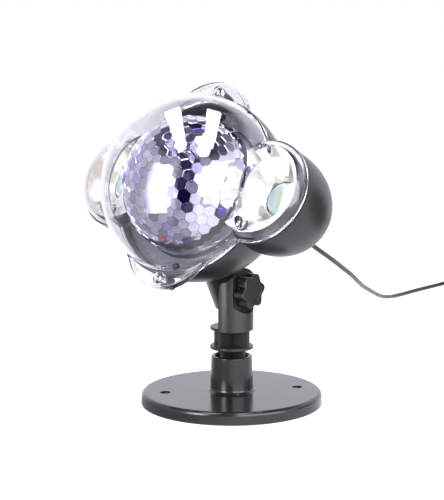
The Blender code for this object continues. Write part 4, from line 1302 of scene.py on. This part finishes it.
class BuildInside(ProjectorOperator):
    """Bezel plate, drive, control board, leads and screws"""

    bl_idname = "projector.build_inside"
    bl_label = "Inner parts"

    def build(self, size):
        self.bezel(size)
        self.screws()
        self.paint_nodes()

    def bezel(self, size):
        """The dark plate round the ball, with a raised collar at the ball and at each lamp."""
        clear = size.shell_wall + 1.4
        plate = disc(GLOBE_RADIUS - clear, -10.0, -8.4, sides=144)
        lobes = [disc(LOBE_RADIUS - clear, -10.1, -8.3, (side * LOBE_OFFSET, 0), 112) for side in (-1, 1)]
        join(plate, *lobes)
        trims = [slab(-8.4, 5), slab(-20, -10.0)]
        holes = [disc(47.2, -20, 5, sides=144)]
        holes += [disc(13.6, -20, 5, (side * LAMP_OFFSET, 0)) for side in (-1, 1)]
        holes += [disc(4.8, -20, 5, place) for place in BOSS_PLACES]
        holes += [disc(1.6, -20, 5, (0, side * BEZEL_SCREW)) for side in (-1, 1)]
        cut(plate, *trims, *holes)
        rounded_edges(plate, 0.2, 50, 2)
        surface = moulded_abs("abs_bezel", linear("#4c4b52"), 0.22, 0.32, 0.004)
        finish_piece(plate, "bezel", HEAD, surface, "head", ("bezel_plate",))

    def screws(self):
        """Cross-head screws, one template copied to every place by Geometry Nodes."""
        template = turned(filleted([
            (0, 0.0), (1.7, 0.0, 0.8), (2.6, -1.4, 0.3), (2.6, -2.1), (1.2, -2.1), (1.2, -13.0, 0.3), (0, -13.6),
        ]), sides=24)
        cross = [block((-1.5, -0.35, -1.1), (1.5, 0.35, 1)), block((-0.35, -1.5, -1.05), (0.35, 1.5, 1.1))]
        cut(template, *cross)
        bm = bmesh.new()
        bm.from_mesh(template.data)
        short = to_object(bm)
        for vert in short.data.vertices:
            vert.co.z = max(vert.co.z, -3.4) if vert.co.z < -3 else vert.co.z
        sets = (
            ("cover_screws", template, about("X", math.pi),
             [(*place, -9.4) for place in SCREW_PLACES],
             [f"cover_screw_{w}" for w in
              ("left_lower", "left_upper", "right_lower", "right_upper", "top", "bottom")]),
            ("inner_screws", short, WORLD,
             [(0, BEZEL_SCREW, -6.1), (0, -BEZEL_SCREW, -6.1), (MOTOR_SCREW, 0, -48.3), (-MOTOR_SCREW, 0, -48.3)],
             ["bezel_screw_lower", "bezel_screw_upper", "motor_screw_left", "motor_screw_right"]),
        )
        finish = {"cover_screws": zinc_steel(), "inner_screws": metal("steel_black_oxide", "#35353a", 0.3, 0.45)}
        for name, shape, turn, places, nodes in sets:
            steel = finish[name]
            tree, inputs = geometry_tree(f"{name}_tree", (
                ("Screw", "NodeSocketObject"), ("Turn", "NodeSocketRotation"), ("Material", "NodeSocketMaterial"),
            ))
            screw = add(tree, "GeometryNodeObjectInfo", links={"Object": inputs["Screw"]})
            copies = add(tree, "GeometryNodeInstanceOnPoints", links={
                "Points": inputs["Geometry"], "Instance": screw.outputs["Geometry"], "Rotation": inputs["Turn"],
            })
            close_tree(tree, copies.outputs[0], inputs["Material"])
            made = grown(points_host(places), tree, {
                "Screw": shape, "Turn": turn.to_euler(), "Material": steel,
            })
            finish_piece(made, name, HEAD, steel, "head", nodes)
        drop(template, short)

    def paint_nodes(self):
        """The CAD pieces whose shape is right keep it and take a full finish."""
        steel, black = zinc_steel(), plain_plastic("insulation_black", "#1a1a1c", 0.5)
        paints = {
            "ball_hub": plain_plastic("nylon_natural", "#dedbd2", 0.5),
            "motor_shaft": steel,
            "gear_motor": metal("steel_drawn_can", "#a9abad", 0.25, 0.4),
            "driver_board": plain_plastic("epoxy_laminate", "#1f6b3c", 0.4),
            "driver_capacitor": black,
            "lamp_lead_left": black, "lamp_lead_right": black, "motor_lead": black,
        }
        for node, surface in paints.items():
            mesh = frame["nodes"][node].data
            mesh.materials.clear()
            mesh.materials.append(surface)


class ProjectorPanel(bpy.types.Panel):
    """Lists the build steps and the settings"""

    bl_idname = "VIEW3D_PT_projector"
    bl_label = "Light projector"
    bl_space_type = "VIEW_3D"
    bl_region_type = "UI"
    bl_category = "Projector"

    def draw(self, context):
        for kind in OPERATORS:
            self.layout.operator(kind.bl_idname)
        for group in (context.scene.projector_sizes, context.scene.projector_colours):
            box = self.layout.box()
            for name in group.__annotations__:
                box.prop(group, name)


OPERATORS = (
    BuildStudio, BuildCord, BuildStand, BuildHousing, BuildCover, BuildBall, BuildLamps, BuildInside,
)
CLASSES = (ProjectorSizes, ProjectorColours, *OPERATORS, ProjectorPanel)


def register():
    for kind in CLASSES:
        bpy.utils.register_class(kind)
    bpy.types.Scene.projector_sizes = PointerProperty(type=ProjectorSizes)
    bpy.types.Scene.projector_colours = PointerProperty(type=ProjectorColours)


def unregister():
    del bpy.types.Scene.projector_colours
    del bpy.types.Scene.projector_sizes
    for kind in reversed(CLASSES):
        bpy.utils.unregister_class(kind)


def main():
    register()
    for kind in OPERATORS:
        group, name = kind.bl_idname.split(".")
        getattr(getattr(bpy.ops, group), name)()
    bpy.context.view_layer.update()


if __name__ == "__main__":
    main()
